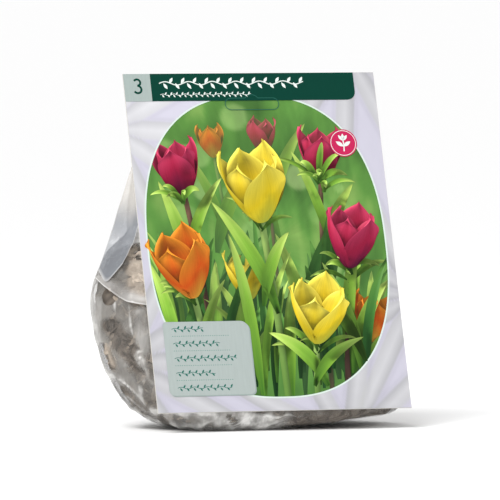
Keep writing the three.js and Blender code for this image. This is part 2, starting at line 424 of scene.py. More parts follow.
def inside_film(height, depth, count):
    """The bag's outline at a height, moved in by depth, or by less near the floor."""
    depth += (FOOT_FILL_DEPTH - FILL_DEPTH) * (1 - smoothstep(12 * MM, 32 * MM, height))
    row = section("film_bag", height, count)
    low, high = row.min(axis=0), row.max(axis=0)
    middle, half = (low + high) / 2, (high - low) / 2
    scale = np.array([1 - depth / half[0], 1 - depth / half[1], 1])
    return middle + (row - middle) * scale


def fill_solid():
    """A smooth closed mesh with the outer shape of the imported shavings."""
    low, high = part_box("wood_shavings")
    shoulder = high.z - FILL_SHOULDER
    rows = [inside_film(z, FILL_DEPTH, FILL_COLUMNS) for z in np.linspace(low.z, shoulder, 30)]
    for angle in np.radians([15, 30, 45, 60, 75, 90]):
        depth = FILL_DEPTH + FILL_SHOULDER * (1 - math.cos(angle))
        rows.append(inside_film(shoulder + FILL_SHOULDER * math.sin(angle), depth, FILL_COLUMNS))
    return make_mesh("fill_solid", np.vstack(rows), capped_faces(len(rows), FILL_COLUMNS))


def film_rows():
    """The outlines of the CAD bag's outer face, from the floor up."""
    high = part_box("film_bag")[1].z
    levels = np.concatenate([
        FOOT_ROWS,
        np.linspace(12, 1000 * high - 0.2, round((high - 12 * MM) / FILM_ROW)),
    ]) * MM
    return [section("film_bag", z, FILM_COLUMNS) for z in levels]


def flat_film(rows):
    """The bag before it settles: a smooth grid of film over the CAD bag's outer face."""
    middle = rows[0].mean(axis=0)
    base = [middle + (rows[0] - middle) * share for share in FLOOR_RINGS]
    rows = base + rows
    faces = capped_faces(len(rows), FILM_COLUMNS)[:-1]  # the mouth is open
    return new_piece("film_bag_look", np.vstack(rows), faces, ["film_bag"])


def add_collider(name, mesh, reach):
    collider = add_object(name, mesh)
    collider.modifiers.new("collision", "COLLISION")
    collider.collision.thickness_outer = reach
    collider.collision.cloth_friction = 5
    return collider


def hold_ends(film):
    """The vertex group that holds the film's base and its welded mouth."""
    held = film.vertex_groups.new(name="held")
    for vertex in film.data.vertices:
        height = vertex.co.z
        hold = smoothstep(FREE_BELOW, HELD_ABOVE, height) + smoothstep(FREE_ABOVE, HELD_BELOW, height)
        held.add([vertex.index], float(hold), "REPLACE")


def settle_film(film, contents):
    """Lets slack film crumple against its contents, the card and the floor."""
    hold_ends(film)
    half = 0.5 * CARD_WIDTH
    corners = ((-half, CARD_HEIGHT), (half, CARD_HEIGHT), (half, 0), (-half, 0))
    card_back = [on_card(u, v, -CARD_THICKNESS) for u, v in corners]
    colliders = [
        add_collider(f"settle_{number}", contents_mesh, 0.9 * MM)
        for number, contents_mesh in enumerate(contents)
    ]
    card_mesh = make_mesh("settle_card", card_back, [(0, 1, 2, 3)])
    colliders.append(add_collider("settle_card", card_mesh, 0.3 * MM))
    colliders.append(add_collider("settle_ground", level_square("settle_ground", 0.3), 0.2 * MM))
    cloth = film.modifiers.new("cloth", "CLOTH")
    for name, value in FILM_CLOTH.items():
        setattr(cloth.settings, name, value)
    cloth.settings.vertex_group_mass = "held"
    cloth.settings.effector_weights.gravity = 0.3
    cloth.collision_settings.collision_quality = 4
    cloth.collision_settings.distance_min = 0.4 * MM
    scene = bpy.context.scene
    for step in range(1, SIM_FRAMES + 1):
        scene.frame_set(step)
    mesh = apply_modifiers(film)
    scene.frame_set(1)
    for collider in colliders:
        bpy.data.objects.remove(collider)
    film.vertex_groups.clear()
    return mesh


def crumple(mesh, strength=1.0):
    """Creases between flat facets, on top of the folds from settling."""
    points = mesh_points(mesh)
    depth = np.zeros(len(points))
    for i, point in enumerate(points):
        place = Vector(point) * (1 / MM)
        shifted = [place / 21 + Vector((shift, 0, 0)) for shift in (0, 40, 80)]
        bend = Vector([0.35 * noise.noise(p) for p in shifted])
        for size, height in FACETS:
            nearest, second = noise.voronoi(place / size + bend)[0][:2]
            depth[i] += height * (0.35 - min(second - nearest, 0.6))
    calm = 1 - 0.8 * smoothstep(FREE_BELOW, HELD_ABOVE, points[:, 2])
    push_out(mesh, strength * (depth * MM) * calm)


def gather_corners(mesh):
    """Long soft folds that run round the bag's two bottom corners."""
    points = mesh_points(mesh)
    depth = np.zeros(len(points))
    for side in (-1, 1):
        x, z = points[:, 0] * side / MM, points[:, 2] / MM
        share = smoothstep(22, 44, x) * (1 - smoothstep(30, 50, z))
        for i in np.flatnonzero(share > 0):
            away_x, away_z = x[i] - 30, z[i] - 60
            reach, turn = math.hypot(away_x, away_z), math.atan2(away_z, away_x)
            place = Vector((reach / 8.5 + 0.8 * turn, 1.7 * turn, points[i, 1] / (60 * MM) + side))
            depth[i] += share[i] * (0.7 - 3.0 * abs(noise.noise(place)))
    push_out(mesh, depth * MM)


def ease_inside(mesh):
    """Presses in most of what the slack film stands past the CAD bag's box."""
    low, high = (np.array(corner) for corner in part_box("film_bag"))
    points = mesh_points(mesh)
    within = np.clip(points, low, high)
    set_points(mesh, within + 0.4 * (points - within))


def keep_clear(mesh, contents, gap, reach):
    """Moves the film out of what it covers and is within reach, above the floor and behind the card."""
    points = mesh_points(mesh)
    for i, point in enumerate(points):
        near, normal, _, _ = contents.find_nearest(Vector(point), reach)
        if near is None:
            continue
        away = (Vector(point) - near).dot(normal)
        if away < gap:
            points[i] += normal * (gap - away)
    foot, out = np.array(CARD_FOOT), np.array(CARD_OUT)
    behind = (points - foot) @ out + CARD_THICKNESS + 0.25 * MM
    up_the_card = (points - foot) @ np.array(CARD_UP)
    reaches = (behind > 0) & (up_the_card > -1 * MM)
    points[reaches] -= behind[reaches, None] * out
    points[:, 2] = np.maximum(points[:, 2], 0.05 * MM)
    set_points(mesh, points)


def close_mouth(mesh, rows):
    """Brings the back pane up to the front one along the flattened mouth."""
    points = mesh_points(mesh)
    heights = [row[0, 2] for row in rows]
    front = np.interp(points[:, 2], heights, [row[:, 1].min() for row in rows])
    closed = 0.85 * smoothstep(HELD_ABOVE - 6 * MM, HELD_ABOVE + 2 * MM, points[:, 2])
    points[:, 1] += (front - points[:, 1]) * closed
    set_points(mesh, points)


def punch_vents(mesh, outline):
    """Cuts the CAD bag's round vent holes through the film, square to its smooth outline."""
    shape = bmesh.new()
    shape.from_mesh(mesh)
    for x, z in VENTS:
        for way in (1, -1):
            start = Vector((x, -0.2 * way, z))
            centre, axis, _, _ = outline.ray_cast(start, Vector((0, way, 0)))

            def from_axis(place):
                away = place - centre
                return away - axis * away.dot(axis)

            def beyond(place):
                if abs((place - centre).dot(axis)) > VENT_DEPTH:
                    return VENT_RADIUS
                return from_axis(place).length - VENT_RADIUS

            rim = []
            near = [e for e in shape.edges if (e.verts[0].co - centre).length < 2 * VENT_RADIUS]
            for edge in near:
                first, last = edge.verts
                inside, outside = beyond(first.co), beyond(last.co)
                if inside * outside < 0:
                    _, made = bmesh.utils.edge_split(edge, first, inside / (inside - outside))
                    flat = from_axis(made.co)
                    made.co += flat.normalized() * (VENT_RADIUS - flat.length)
                    rim.append(made)
            bmesh.ops.connect_verts(shape, verts=rim)
            cut = [f for f in shape.faces if beyond(f.calc_center_median()) < 0]
            bmesh.ops.delete(shape, geom=cut, context="FACES")
    loose = [v for v in shape.verts if not v.link_faces]
    bmesh.ops.delete(shape, geom=loose, context="VERTS")
    shape.to_mesh(mesh)
    shape.free()
    mesh.update()


def drawn(points):
    """The places of points on the drawing plane, and whether each is on the bag's front."""
    flat = np.stack([points[:, :2] @ DRAWING_PLANE, points[:, 2]], axis=1) / MM
    outlines = np.array([section("film_bag", height, FILL_COLUMNS) for height in SEAM_LEVELS])
    seam = outlines[:, [0, FILL_COLUMNS // 2], 1].mean(axis=1)
    return flat, points[:, 1] < np.interp(points[:, 2], SEAM_LEVELS, seam)


def clinging(points):
    """Each point's share in PATCHES, from -1 to 1, and how pale the contents are there."""
    share = np.zeros(len(points))
    pale = np.full(len(points), 0.5)
    ragged = np.array([noise.noise(Vector(p) * 160) for p in points]) * 0.35
    flat, front = drawn(points)
    for start, end, radius, sign, tone in PATCHES:
        first, last = np.array(start), np.array(end)
        away = flat - first
        along = np.clip(away @ (last - first) / ((last - first) ** 2).sum(), 0, 1)
        distance = np.linalg.norm(away - along[:, None] * (last - first), axis=1)
        inside = front * (1 - smoothstep(0.7 * radius, 1.2 * radius, distance + ragged * radius))
        # The shares and tones carry painted light: pale stand-off film as painted highlights, and cream
        # highlights and the card's shadow painted on the shavings.
        pale += (tone - pale) * inside
        share += (sign - share) * inside
    return share, pale


def crease_front(mesh):
    """Raises the sharp creases of CREASES on the bag's front, and returns each point's share in one."""
    flat, front = drawn(mesh_points(mesh))
    share, height = np.zeros(len(flat)), np.zeros(len(flat))
    for start, bend, end, rise in CREASES:
        path = curve(start, bend, end, 24)
        fades = 1 - 0.6 * np.abs(np.linspace(-1, 1, len(path)))  # towards both ends
        for place, fade in zip(path, fades):
            away = np.linalg.norm(flat - place, axis=1)
            near = np.clip(1 - away / CREASE_WIDTH, 0, 1) * front * fade
            share = np.maximum(share, near)
            height = np.maximum(height, near * rise)
    push_out(mesh, height * MM)
    return share


def around(mesh, values):
    """The mean of each vertex's neighbours, for rows of values."""
    edges = np.array([e.vertices for e in mesh.edges])
    total = np.zeros_like(values)
    count = np.zeros((len(values), 1))
    for a, b in ((0, 1), (1, 0)):
        np.add.at(total, edges[:, a], values[edges[:, b]])
        np.add.at(count, edges[:, a], 1)
    return total / count


def hang_foot(mesh):
    """Lowers the foot of the film, or of what fills it, at the soft corners of FOOT_CORNERS."""
    points = mesh_points(mesh)
    along = points[:, :2] @ DRAWING_PLANE / MM
    low = 1 - smoothstep(8, 22, points[:, 2] / MM)
    for place, drop, half in FOOT_CORNERS:
        points[:, 2] -= drop * MM * low * np.clip(1 - abs(along - place) / half, 0, 1)
    set_points(mesh, points)


def note_film(mesh, contents, creases):
    """Values for the film's material: how far off its contents it is, how it folds, where it clings. The
    material paints the folds and creases lighter, and the stand-off patches pale: painted highlights.
    """
    points, normals = mesh_points(mesh), vectors(mesh.vertex_normals, "vector")
    reach = 30 * MM
    gap = np.empty(len(points))
    for i, point in enumerate(points):
        hit = contents.find_nearest(Vector(point), reach)
        gap[i] = reach if hit[0] is None else hit[3]
    bend = ((around(mesh, points) - points) * normals).sum(axis=1)[:, None] / MM
    for _ in range(2):
        bend = (bend + 1.4 * around(mesh, bend)) / 2
    seam = smoothstep(0.7, 0.97, np.abs(normals[:, 0]))
    set_values(mesh, "gap", np.clip(gap / (10 * MM) + 0.3 * seam, 0, 1))
    # Bends and creases are painted lighter in the material: painted highlights.
    bend_highlight = np.clip(0.5 - 1.9 * bend[:, 0], 0, 0.84)
    set_values(mesh, "fold_and_highlight", np.maximum(bend_highlight, 0.5 + 0.5 * creases))
    set_values(mesh, "cling", clinging(points)[0])


def film_material(name="bag_film", doubled=False):
    """Clear but hazy film: it hides more where it stands off the contents, and along its folds. Along
    its folds and creases, and on stand-off patches, it is also painted lighter: painted highlights.
    """
    nodes = Nodes(name)
    gap, fold_and_highlight, cling = (nodes.attribute(part) for part in ("gap", "fold_and_highlight", "cling"))
    cloudy = nodes.noise(38, 2, distortion=0.9)
    streaks = nodes.noise(7, 4, stretch=(1, 1, 0.35))
    # Along folds and creases the film is painted hazier and lighter: a painted highlight.
    fold_highlight = nodes.math("MULTIPLY", nodes.span(fold_and_highlight, 0.64, 1.0), nodes.span(cling, 0, 1, 1, 0.25))
    streaky = nodes.span(streaks, 0.38, 0.62, 0.4, 1)
    # Stand-off patches are painted hazy and pale along streaks: a painted highlight.
    loose = nodes.math("MULTIPLY", nodes.span(cling, -1, 0, 1, 0), streaky)
    grazing = nodes.node("ShaderNodeLayerWeight", {"Blend": 0.35}).outputs["Facing"]
    haze = nodes.total(
        nodes.span(gap, 0.06, 0.5, 0.3, 0.6),
        nodes.span(cloudy, 0.35, 0.65, -0.1, 0.1),
        nodes.span(gap, 0.5, 1, 0, -0.25),
        nodes.span(streaks, 0.45, 0.75, 0, 0.07),
        nodes.span(grazing, 0.3, 1, 0, 0.35),
    )
    haze = nodes.total(
        nodes.math("MULTIPLY", haze, nodes.span(cling, 0, 1, 1, 0.0 if doubled else 0.15)),
        nodes.span(fold_highlight, 0, 1, 0, 0.45),
        nodes.span(loose, 0, 1, 0, 0.5),
    )
    if doubled:
        haze = nodes.total(haze, nodes.span(cling, 0, 1, 0.28, -0.02))
    colour = nodes.mix(nodes.span(cloudy, 0.35, 0.65), (0.23, 0.218, 0.2, 1), (0.31, 0.3, 0.28, 1))
    colour = nodes.mix(nodes.span(gap, 0.5, 1, 0, 0.8), colour, (0.5, 0.49, 0.47, 1))
    colour = nodes.mix(loose, colour, (0.85, 0.84, 0.82, 1))
    if doubled:
        # The doubled film is painted pale cream where lit and darker blue-grey below: painted light.
        colour = nodes.mix(nodes.attribute("lit_share"), (0.23, 0.245, 0.27, 1), (0.62, 0.585, 0.54, 1))
    # The painted highlight colour along folds and creases.
    colour = nodes.mix(fold_highlight, colour, (0.75, 0.74, 0.72, 1))
    nodes.paint(colour, nodes.span(streaks, 0.3, 0.8, 0.2, 0.34))
    nodes.shader.inputs["Specular IOR Level"].default_value = 0.35
    nodes.bump(nodes.noise(3.2, 3, kind="RIDGED_MULTIFRACTAL"), 0.2, 0.25 * MM)
    clear = nodes.node("ShaderNodeBsdfTransparent").outputs[0]
    haze = nodes.span(haze, 0, 1, 0.05, 0.95)
    mixed = nodes.node("ShaderNodeMixShader", {0: haze, 1: clear, 2: nodes.shader.outputs[0]})
    nodes.feed(nodes.output.inputs["Surface"], mixed.outputs[0])
    return nodes.material


def front_place(rows, travelled, height, from_left):
    """A point of the bag's front, by distance from a side crease and by height, and its normal."""
    half = FILM_COLUMNS // 2
    heights = [row[0, 2] for row in rows]
    upper = int(np.clip(np.searchsorted(heights, height), 1, len(rows) - 1))
    share = (height - heights[upper - 1]) / (heights[upper] - heights[upper - 1])
    row = rows[upper - 1] + (rows[upper] - rows[upper - 1]) * share
    step = np.linalg.norm(row[half // 2 + 1] - row[half // 2])
    column = travelled / step if from_left else half - travelled / step
    column = float(np.clip(column, 0, half - 1e-3))
    first = int(column)
    point = row[first] + (row[first + 1] - row[first]) * (column - first)
    run = row[first + 1] - row[first]
    return Vector(point), Vector((run[1], -run[0], 0)).normalized()


def film_patch(name, rows, film, columns, steps, where, from_left=True, pinned=True):
    """Extra film that lies on the bag. For u and v from 0 to 1, where(u, v) gives the distance from the
    crease, height, lift, how much haze is left, how sharp a crease is, which also paints it lighter as a
    painted highlight, and how pale and lit the film is painted, a painted light.
    A pinned patch stays on the CAD bag's outline where u is 0. Doubled film bridges hollows."""
    outlines, outwards, looks = [], [], []
    across = np.arange(columns + 1)
    depths = np.full((steps + 1, columns + 1), np.nan)
    for r in range(steps + 1):
        for c in across:
            u, v = c / columns, r / steps
            travelled, height, *look = where(u, v)
            outline, outward = front_place(rows, travelled, height, from_left)
            hit = film.ray_cast(outline + outward * PATCH_REACH, -outward, 2 * PATCH_REACH)[0]
            if hit:
                follow = smoothstep(0, 0.5, u) if pinned else 1
                depths[r, c] = (hit - outline).dot(outward) * follow
            outlines.append(outline)
            outwards.append(outward)
            looks.append(look)
        known = np.flatnonzero(~np.isnan(depths[r]))
        stops, values = list(known), list(depths[r, known])
        if pinned:
            stops, values = [-1, *stops], [0, *values]
        depths[r] = np.interp(across, stops, values)
    outwards = np.array(outwards)
    places = np.array(outlines) + outwards * np.maximum(depths, -BRIDGED).reshape(-1, 1)
    places = places.reshape(steps + 1, columns + 1, 3)
    for _ in range(8):  # doubled film is stiff
        places[1:-1] = (places[:-2] + places[2:] + 2 * places[1:-1]) / 4
        places[:, 1:-1] = (places[:, :-2] + places[:, 2:] + 2 * places[:, 1:-1]) / 4
    lifts, hazes, folds, lit_shares = np.array(looks).T
    lifts = outwards * (lifts + 0.22 * MM * folds)[:, None]
    faces = grid_faces(steps + 1, columns + 1, closed=False)
    if not from_left:
        faces = flipped(faces)
    mesh = new_piece(name, places.reshape(-1, 3) + lifts, faces).data
    crumple(mesh, 0.3)
    keep_clear(mesh, film, 0.25 * MM, reach=1 * MM)
    set_values(mesh, "gap", np.full(len(looks), 0.4))
    set_values(mesh, "cling", 1 - hazes)
    set_values(mesh, "fold_and_highlight", 0.5 + 0.5 * folds)
    set_values(mesh, "lit_share", lit_shares)
    dress(mesh, FLAP_MATERIAL)


def crease_lines(u, v, lines):
    """How close u, v is to one of these straight creases, from 0 to 1."""
    return max(math.exp(-(((v - start - slope * u) / width) ** 2)) for start, slope, width in lines)


def side_flap(u, v):
    """The folded corner of the bag's side seam: a strip down the crease, with a pointed end."""
    foot = 89 - 7 * u / 0.62 if u < 0.62 else 82 + 11 * (u - 0.62) / 0.38
    height = foot + (154 - foot) * v
    travelled = 0.2 + (18 - 5 * v) * u
    lift = 0.7 + 1.1 * u * u
    # Its creases and edges lift it a little and are painted lighter: painted highlights.
    fold_and_highlight = max(0.4 * crease_lines(u, v, FLAP_CREASES), 0.7 - 12 * min(u, 1 - u, v, 1))
    haze = 0.9 - 0.25 * math.sin(9 * v + 2 * u) * v
    # The last value paints the flap pale and lit above, and darker below: painted light.
    return travelled * MM, height * MM, lift * MM, haze, fold_and_highlight, float(smoothstep(0.38, 0.7, v))


def pleat(u, v):
    """A tuck that runs down across the front from the side crease, over the vent's edge."""
    travelled = 2 + 64 * u
    low = np.interp(travelled, [2, 8, 20, 26.5, 36.5, 66], [85, 82, 76, 72.6, 71.0, 69.5])
    tall = np.interp(travelled, [2, 12, 26, 66], [2.5, 6.5, 8.5, 5.0])
    lift = 0.35 + 1.5 * (1 - v) ** 3
    haze = float(1 - smoothstep(0.35, 1, v)) * (0.7 + 0.2 * math.sin(17 * u))
    # Its lower edge and creases lift it a little and are painted lighter: painted highlights.
    fold_and_highlight = max(0, 1 - 7 * v) + 0.4 * crease_lines(v, u, PLEAT_CREASES)
    # The last value paints the pleat a middle shade of the same painted light.
    return travelled * MM, (low + tall * v) * MM, lift * MM, haze, min(1, fold_and_highlight), 0.6


def make_film(contents):
    rows = film_rows()
    film = flat_film(rows)
    outline = tree_of(film.data)
    settle_film(film, [mesh.copy() for mesh in contents])
    rounding = film.modifiers.new("rounding", "SUBSURF")
    rounding.levels = rounding.render_levels = 1
    mesh = apply_modifiers(film)
    covered = tree_of(*contents)
    close_mouth(mesh, rows)
    gather_corners(mesh)
    crumple(mesh)
    ease_inside(mesh)
    keep_clear(mesh, covered, FILM_GAP, reach=8 * MM)
    punch_vents(mesh, outline)
    note_film(mesh, covered, crease_front(mesh))
    hang_foot(mesh)
    dress(mesh, film_material())
    settled = tree_of(mesh)
    film_patch("left_seam_flap", rows, settled, 26, 90, side_flap)
    film_patch("right_seam_flap", rows, settled, 26, 90, side_flap, from_left=False)
    film_patch("front_pleat", rows, settled, 90, 12, pleat, pinned=False)


# ---------------------------------------------------------------- bulbs

BULB_COLUMNS = 120  # points round each bulb
BULB_ROWS = 84  # and from its stem to its root plate
BULB_SCALES = 5
BULB_ROOTS = 26
BULBS = ("bulb_left", "bulb_right", "bulb_upper")


def bulb_frame(node):
    """A CAD bulb's middle, and its own axes: it is flattest along the stem, which points up."""
    points = mesh_points(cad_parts[node].data)
    middle = 0.5 * (points.max(axis=0) + points.min(axis=0))
    _, axes = np.linalg.eigh(np.cov((points - middle).T))
    stem = axes[:, 0] * (1 if axes[2, 0] > 0 else -1)
    side = np.cross([0, 1, 0], stem)
    side /= np.linalg.norm(side)
    return middle, side, np.cross(stem, side), stem


def bulb_reach(node, middle, ways):
    """How far the CAD bulb's surface is from its middle along each way, with its facets rounded off."""
    shape = tree_of(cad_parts[node].data)
    hits = [shape.ray_cast(Vector(middle), Vector(way)) for way in ways.reshape(-1, 3)]
    reach = np.array([hit[3] for hit in hits]).reshape(ways.shape[:2])
    for _ in range(3):
        beside = (np.roll(reach, 1, axis=1) + np.roll(reach, -1, axis=1)) / 2
        reach[1:-1] = 0.4 * reach[1:-1] + 0.35 * beside[1:-1] + 0.125 * (reach[2:] + reach[:-2])
    return reach


def scale_relief(draw, polar, turn):
    """Fleshy overlapping scales: how deep each point lies in mm, and its tone from pale to brown."""
    depth = np.zeros_like(polar)
    tone = np.zeros_like(polar)
    for scale in range(BULB_SCALES):
        centre = 2 * math.pi * (scale + draw.uniform(-0.15, 0.15)) / BULB_SCALES
        spread = draw.uniform(0.62, 0.85)
        lean = draw.uniform(-0.25, 0.25)
        across = np.angle(np.exp(1j * (turn - centre - lean * (polar - 1.5))))
        edge = spread * (0.55 + 0.45 * np.sin(np.clip(polar * 1.05, 0, math.pi)))
        inside = np.clip((edge - np.abs(across)) * 9, 0, 1)
        depth = np.where(inside > 0, draw.uniform(0.2, 0.9) + 1.1 * (1 - inside), depth + 0.1)
        tone = np.where(inside > 0, 0.25 + 0.5 * draw.random() + 0.2 * (1 - inside), tone)
    return depth, tone


def roughen(depth, tone, ways, polar, turn, seed):
    """Adds lumps, ribs and stains to the relief."""
    for place in np.ndindex(depth.shape):
        way = Vector(ways[place])
        depth[place] += 0.5 * abs(noise.noise(way * 3.1 + Vector((seed, 0, 0))))
        rib = noise.noise(Vector((turn[place] * 7, polar[place] * 1.2, seed)))
        depth[place] += 0.35 * abs(rib)
        tone[place] += 0.5 * noise.noise(way * 2.2 + Vector((0, seed, 0)))


def make_bulb(node, seed):
    """Overlapping scales round a stem pit, a root plate below, and a few dried roots."""
    draw = random.Random(seed)
    middle, side, back, stem = bulb_frame(node)
    polar = np.linspace(0.02, math.pi - 0.02, BULB_ROWS)
    turn = np.linspace(0, 2 * math.pi, BULB_COLUMNS, endpoint=False)
    polar, turn = np.meshgrid(polar, turn, indexing="ij")
    ways = (
        (np.sin(polar) * np.cos(turn))[..., None] * side
        + (np.sin(polar) * np.sin(turn))[..., None] * back
        + np.cos(polar)[..., None] * stem
    )
    depth, tone = scale_relief(draw, polar, turn)
    roughen(depth, tone, ways, polar, turn, seed)
    plate = smoothstep(2.55, 2.8, polar)
    depth += plate * (0.8 + 0.5 * np.sin(turn * 23) * np.sin(polar * 40))
    reach = bulb_reach(node, middle, ways) - np.maximum(depth, 0.05) * MM
    verts = list((middle + ways * reach[..., None]).reshape(-1, 3))
    faces = flipped(capped_faces(BULB_ROWS, BULB_COLUMNS))
    plate_middle = middle - stem * (float(reach[-1].mean()) - 0.9 * MM)
    for _ in range(BULB_ROOTS):
        add_root(verts, faces, draw, plate_middle, side, back, stem)
    roots = len(verts) - tone.size
    mesh = new_piece(node + "_look", verts, faces, [node]).data
    set_values(mesh, "tone", [*np.clip(tone, 0, 1).ravel(), *[0.9] * roots])
    set_values(mesh, "plate", [*plate.ravel(), *[1.0] * roots])
    dress(mesh, BULB_MATERIAL)


def add_root(verts, faces, draw, plate_middle, side, back, stem):
    """A shrivelled root that lies flat under the root plate."""
    turn = draw.uniform(0, 2 * math.pi)
    start = draw.uniform(1.5, 8) * MM
    length = draw.uniform(4, 9) * MM
    thick = draw.uniform(0.3, 0.55) * MM
    first, sides, steps = len(verts), 5, 6
    for along in np.linspace(0, 1, steps):
        turn += draw.uniform(-0.12, 0.12)
        way = side * math.cos(turn) + back * math.sin(turn)
        centre = plate_middle + way * (start + length * along)
        ring_side = np.cross(way, stem)
        radius = thick * (1 - 0.6 * along)
        for angle in np.linspace(0, 2 * math.pi, sides, endpoint=False):
            verts.append(centre + radius * (math.cos(angle) * ring_side + math.sin(angle) * stem))
    faces += capped_faces(steps, sides, start=first)


def bulb_material():
    """Cream flesh with tan bruises, fine ribs and scraps of brown papery skin."""
    nodes = Nodes("bulb_flesh")
    tone, plate = nodes.attribute("tone"), nodes.attribute("plate")
    bruise = nodes.noise(9, 5)
    ribs = nodes.noise(2.2, 4, stretch=(1, 1, 0.2))
    colour = nodes.mix(tone, (0.66, 0.55, 0.37, 1), (0.45, 0.3, 0.16, 1))
    colour = nodes.mix(nodes.span(bruise, 0.52, 0.66), colour, (0.24, 0.13, 0.07, 1))
    colour = nodes.mix(nodes.span(ribs, 0.5, 0.8, 0, 0.45), colour, (0.74, 0.66, 0.5, 1))
    colour = nodes.mix(plate, colour, (0.2, 0.13, 0.08, 1))
    nodes.paint(colour, nodes.span(bruise, 0.3, 0.7, 0.5, 0.8))
    nodes.shader.inputs["Subsurface Weight"].default_value = 0.08
    nodes.shader.inputs["Subsurface Radius"].default_value = (1.0 * MM, 0.6 * MM, 0.3 * MM)
    nodes.shader.inputs["Subsurface Scale"].default_value = 1.0
    nodes.bump(nodes.math("ADD", ribs, nodes.math("MULTIPLY", bruise, 0.6)), 0.5, 0.5 * MM)
    return nodes.material


# ---------------------------------------------------------------- wood shavings

SHAVING_COUNT = 4200
SHAVING_STEPS = 9  # rows of three points along each
CORE_DEPTH = 2.3 * MM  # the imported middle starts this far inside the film
CORE_COLUMNS = 120


def fill_core():
    """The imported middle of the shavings, as rows of points: dark, rough and a little inside them."""
    low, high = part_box("wood_shavings")
    levels = np.linspace(low.z + 0.4 * MM, high.z - 9 * MM, 34)
    rows = []
    for z in levels:
        row = inside_film(z, CORE_DEPTH, CORE_COLUMNS)
        middle = row.mean(axis=0)
        reach = np.linalg.norm(row - middle, axis=1)[:, None]
        bumps = np.array([noise.fractal(Vector(p) * 90, 0.7, 2.1, 4) for p in row])[:, None]
        rows.append(middle + (row - middle) * (1 - 0.9 * MM * bumps / reach))
    top = rows[-1]
    middle = top.mean(axis=0)
    for share in (0.93, 0.82, 0.68, 0.52, 0.36, 0.2, 0.08):
        row = middle + (top - middle) * share
        bumps = [3.5 * noise.fractal(Vector(p) * 60, 0.7, 2.1, 4) for p in row]
        row[:, 2] += (6 * (1 - share) + np.array(bumps)) * MM
        rows.append(row)
    return rows


def add_shaving(verts, faces, draw, centre, normal):
    """One curled ribbon of wood: its middle lies on the surface and its ends curl inwards."""
    along = Vector([draw.gauss(0, 1) for _ in range(3)])
    along = (along - normal * along.dot(normal)).normalized()
    length = draw.uniform(4, 14) * MM
    width = draw.uniform(1.0, 3.8) * MM
    radius = draw.uniform(6, 20) * MM
    tilt = draw.uniform(-0.5, 0.5)
    twist = draw.uniform(-0.9, 0.9)
    first = len(verts)
    for share in np.linspace(0, 1, SHAVING_STEPS).tolist():
        bend = length * (share - 0.5) / radius
        place = centre + along * radius * math.sin(bend) - normal * radius * (1 - math.cos(bend))
        roll = tilt + twist * (share - 0.5)
        outward = normal * math.cos(bend) + along * math.sin(bend)
        across = along.cross(normal) * math.cos(roll) + outward * math.sin(roll)
        taper = 0.35 + 0.65 * math.sin(math.pi * share) ** 0.6
        cup = outward * (0.12 * width)
        half = across * 0.5 * width * taper
        ragged = 1 + 0.35 * draw.uniform(-1, 1)
        verts.append(place - half * ragged - cup)
        verts.append(place)
        verts.append(place + half * (2 - ragged) - cup)
    faces += grid_faces(SHAVING_STEPS, 3, closed=False, start=first)


def keep_inside(points, first, solid, gap):
    """Moves points from first on to at least gap inside a solid."""
    for point in points[first:]:
        near, normal, _, _ = solid.find_nearest(point)
        out = (point - near).dot(normal) + gap
        if out > 0:
            point -= normal * out


def shaving_spot(draw, outside, bulb, low, high):
    """A drawn place on the shavings' surface and its normal, or none where the upper bulb shows."""
    middle = (low + high) / 2
    if draw.random() < 0.2:  # on top
        start = Vector((draw.uniform(low.x, high.x), draw.uniform(low.y, high.y), high.z + 5 * MM))
        way = Vector((0, 0, -1))
    else:
        turn = draw.uniform(0, 2 * math.pi)
        level = draw.uniform(low.z, high.z - 2 * MM)
        way = Vector((-math.cos(turn), -math.sin(turn), 0))
        start = Vector((middle.x, middle.y, level)) - way * 0.2
    hit, normal, _, _ = outside.ray_cast(start, way)
    if hit and bulb.find_nearest(hit, 9 * MM)[0] and draw.random() < 0.9:
        return None, None
    return hit, normal


def make_shavings(outside):
    """Ribbons of wood over a packed core. Where the film clings or stands off, they take the tone of its
    patch, which in places paints cream highlights and, along the foot, the card's shadow.
    """
    draw = random.Random(11)
    rows = fill_core()
    verts = [Vector(p) for row in rows for p in row]
    core_count = len(verts)
    faces = capped_faces(len(rows), CORE_COLUMNS)
    # Under clinging patches the core takes some of the patch's tone: pale tones partly paint cream
    # highlights.
    clings, pale = clinging(np.array(verts))
    tones = [
        draw.uniform(0.0, 0.25) + 0.5 * tone * max(cling, 0) for cling, tone in zip(clings, pale)
    ]
    bulb = tree_of(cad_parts["bulb_upper"].data)
    low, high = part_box("wood_shavings")
    spots, own = [], []
    while len(spots) < SHAVING_COUNT:
        spot, normal = shaving_spot(draw, outside, bulb, low, high)
        if spot is None:
            continue
        depth = draw.uniform(0.1, 1.5) * MM
        add_shaving(verts, faces, draw, spot - normal * depth, normal)
        spots.append(spot)
        own.append(draw.betavariate(1.8, 3.4))
    # Each patch's tone is painted on its ribbons: in places painted cream highlights, and the card's
    # painted shadow along the foot.
    clings, pale = clinging(np.array(spots))
    shares = np.abs(clings)
    own = np.array(own) * (1 - 0.85 * shares) + 0.85 * pale * shares
    tones += list(np.repeat(own, 3 * SHAVING_STEPS))
    keep_inside(verts, core_count, outside, 0.15 * MM)
    mesh = new_piece("wood_shavings_look", verts, faces, ["wood_shavings"]).data
    set_values(mesh, "tone", tones)
    hang_foot(mesh)
    dress(mesh, shaving_material())


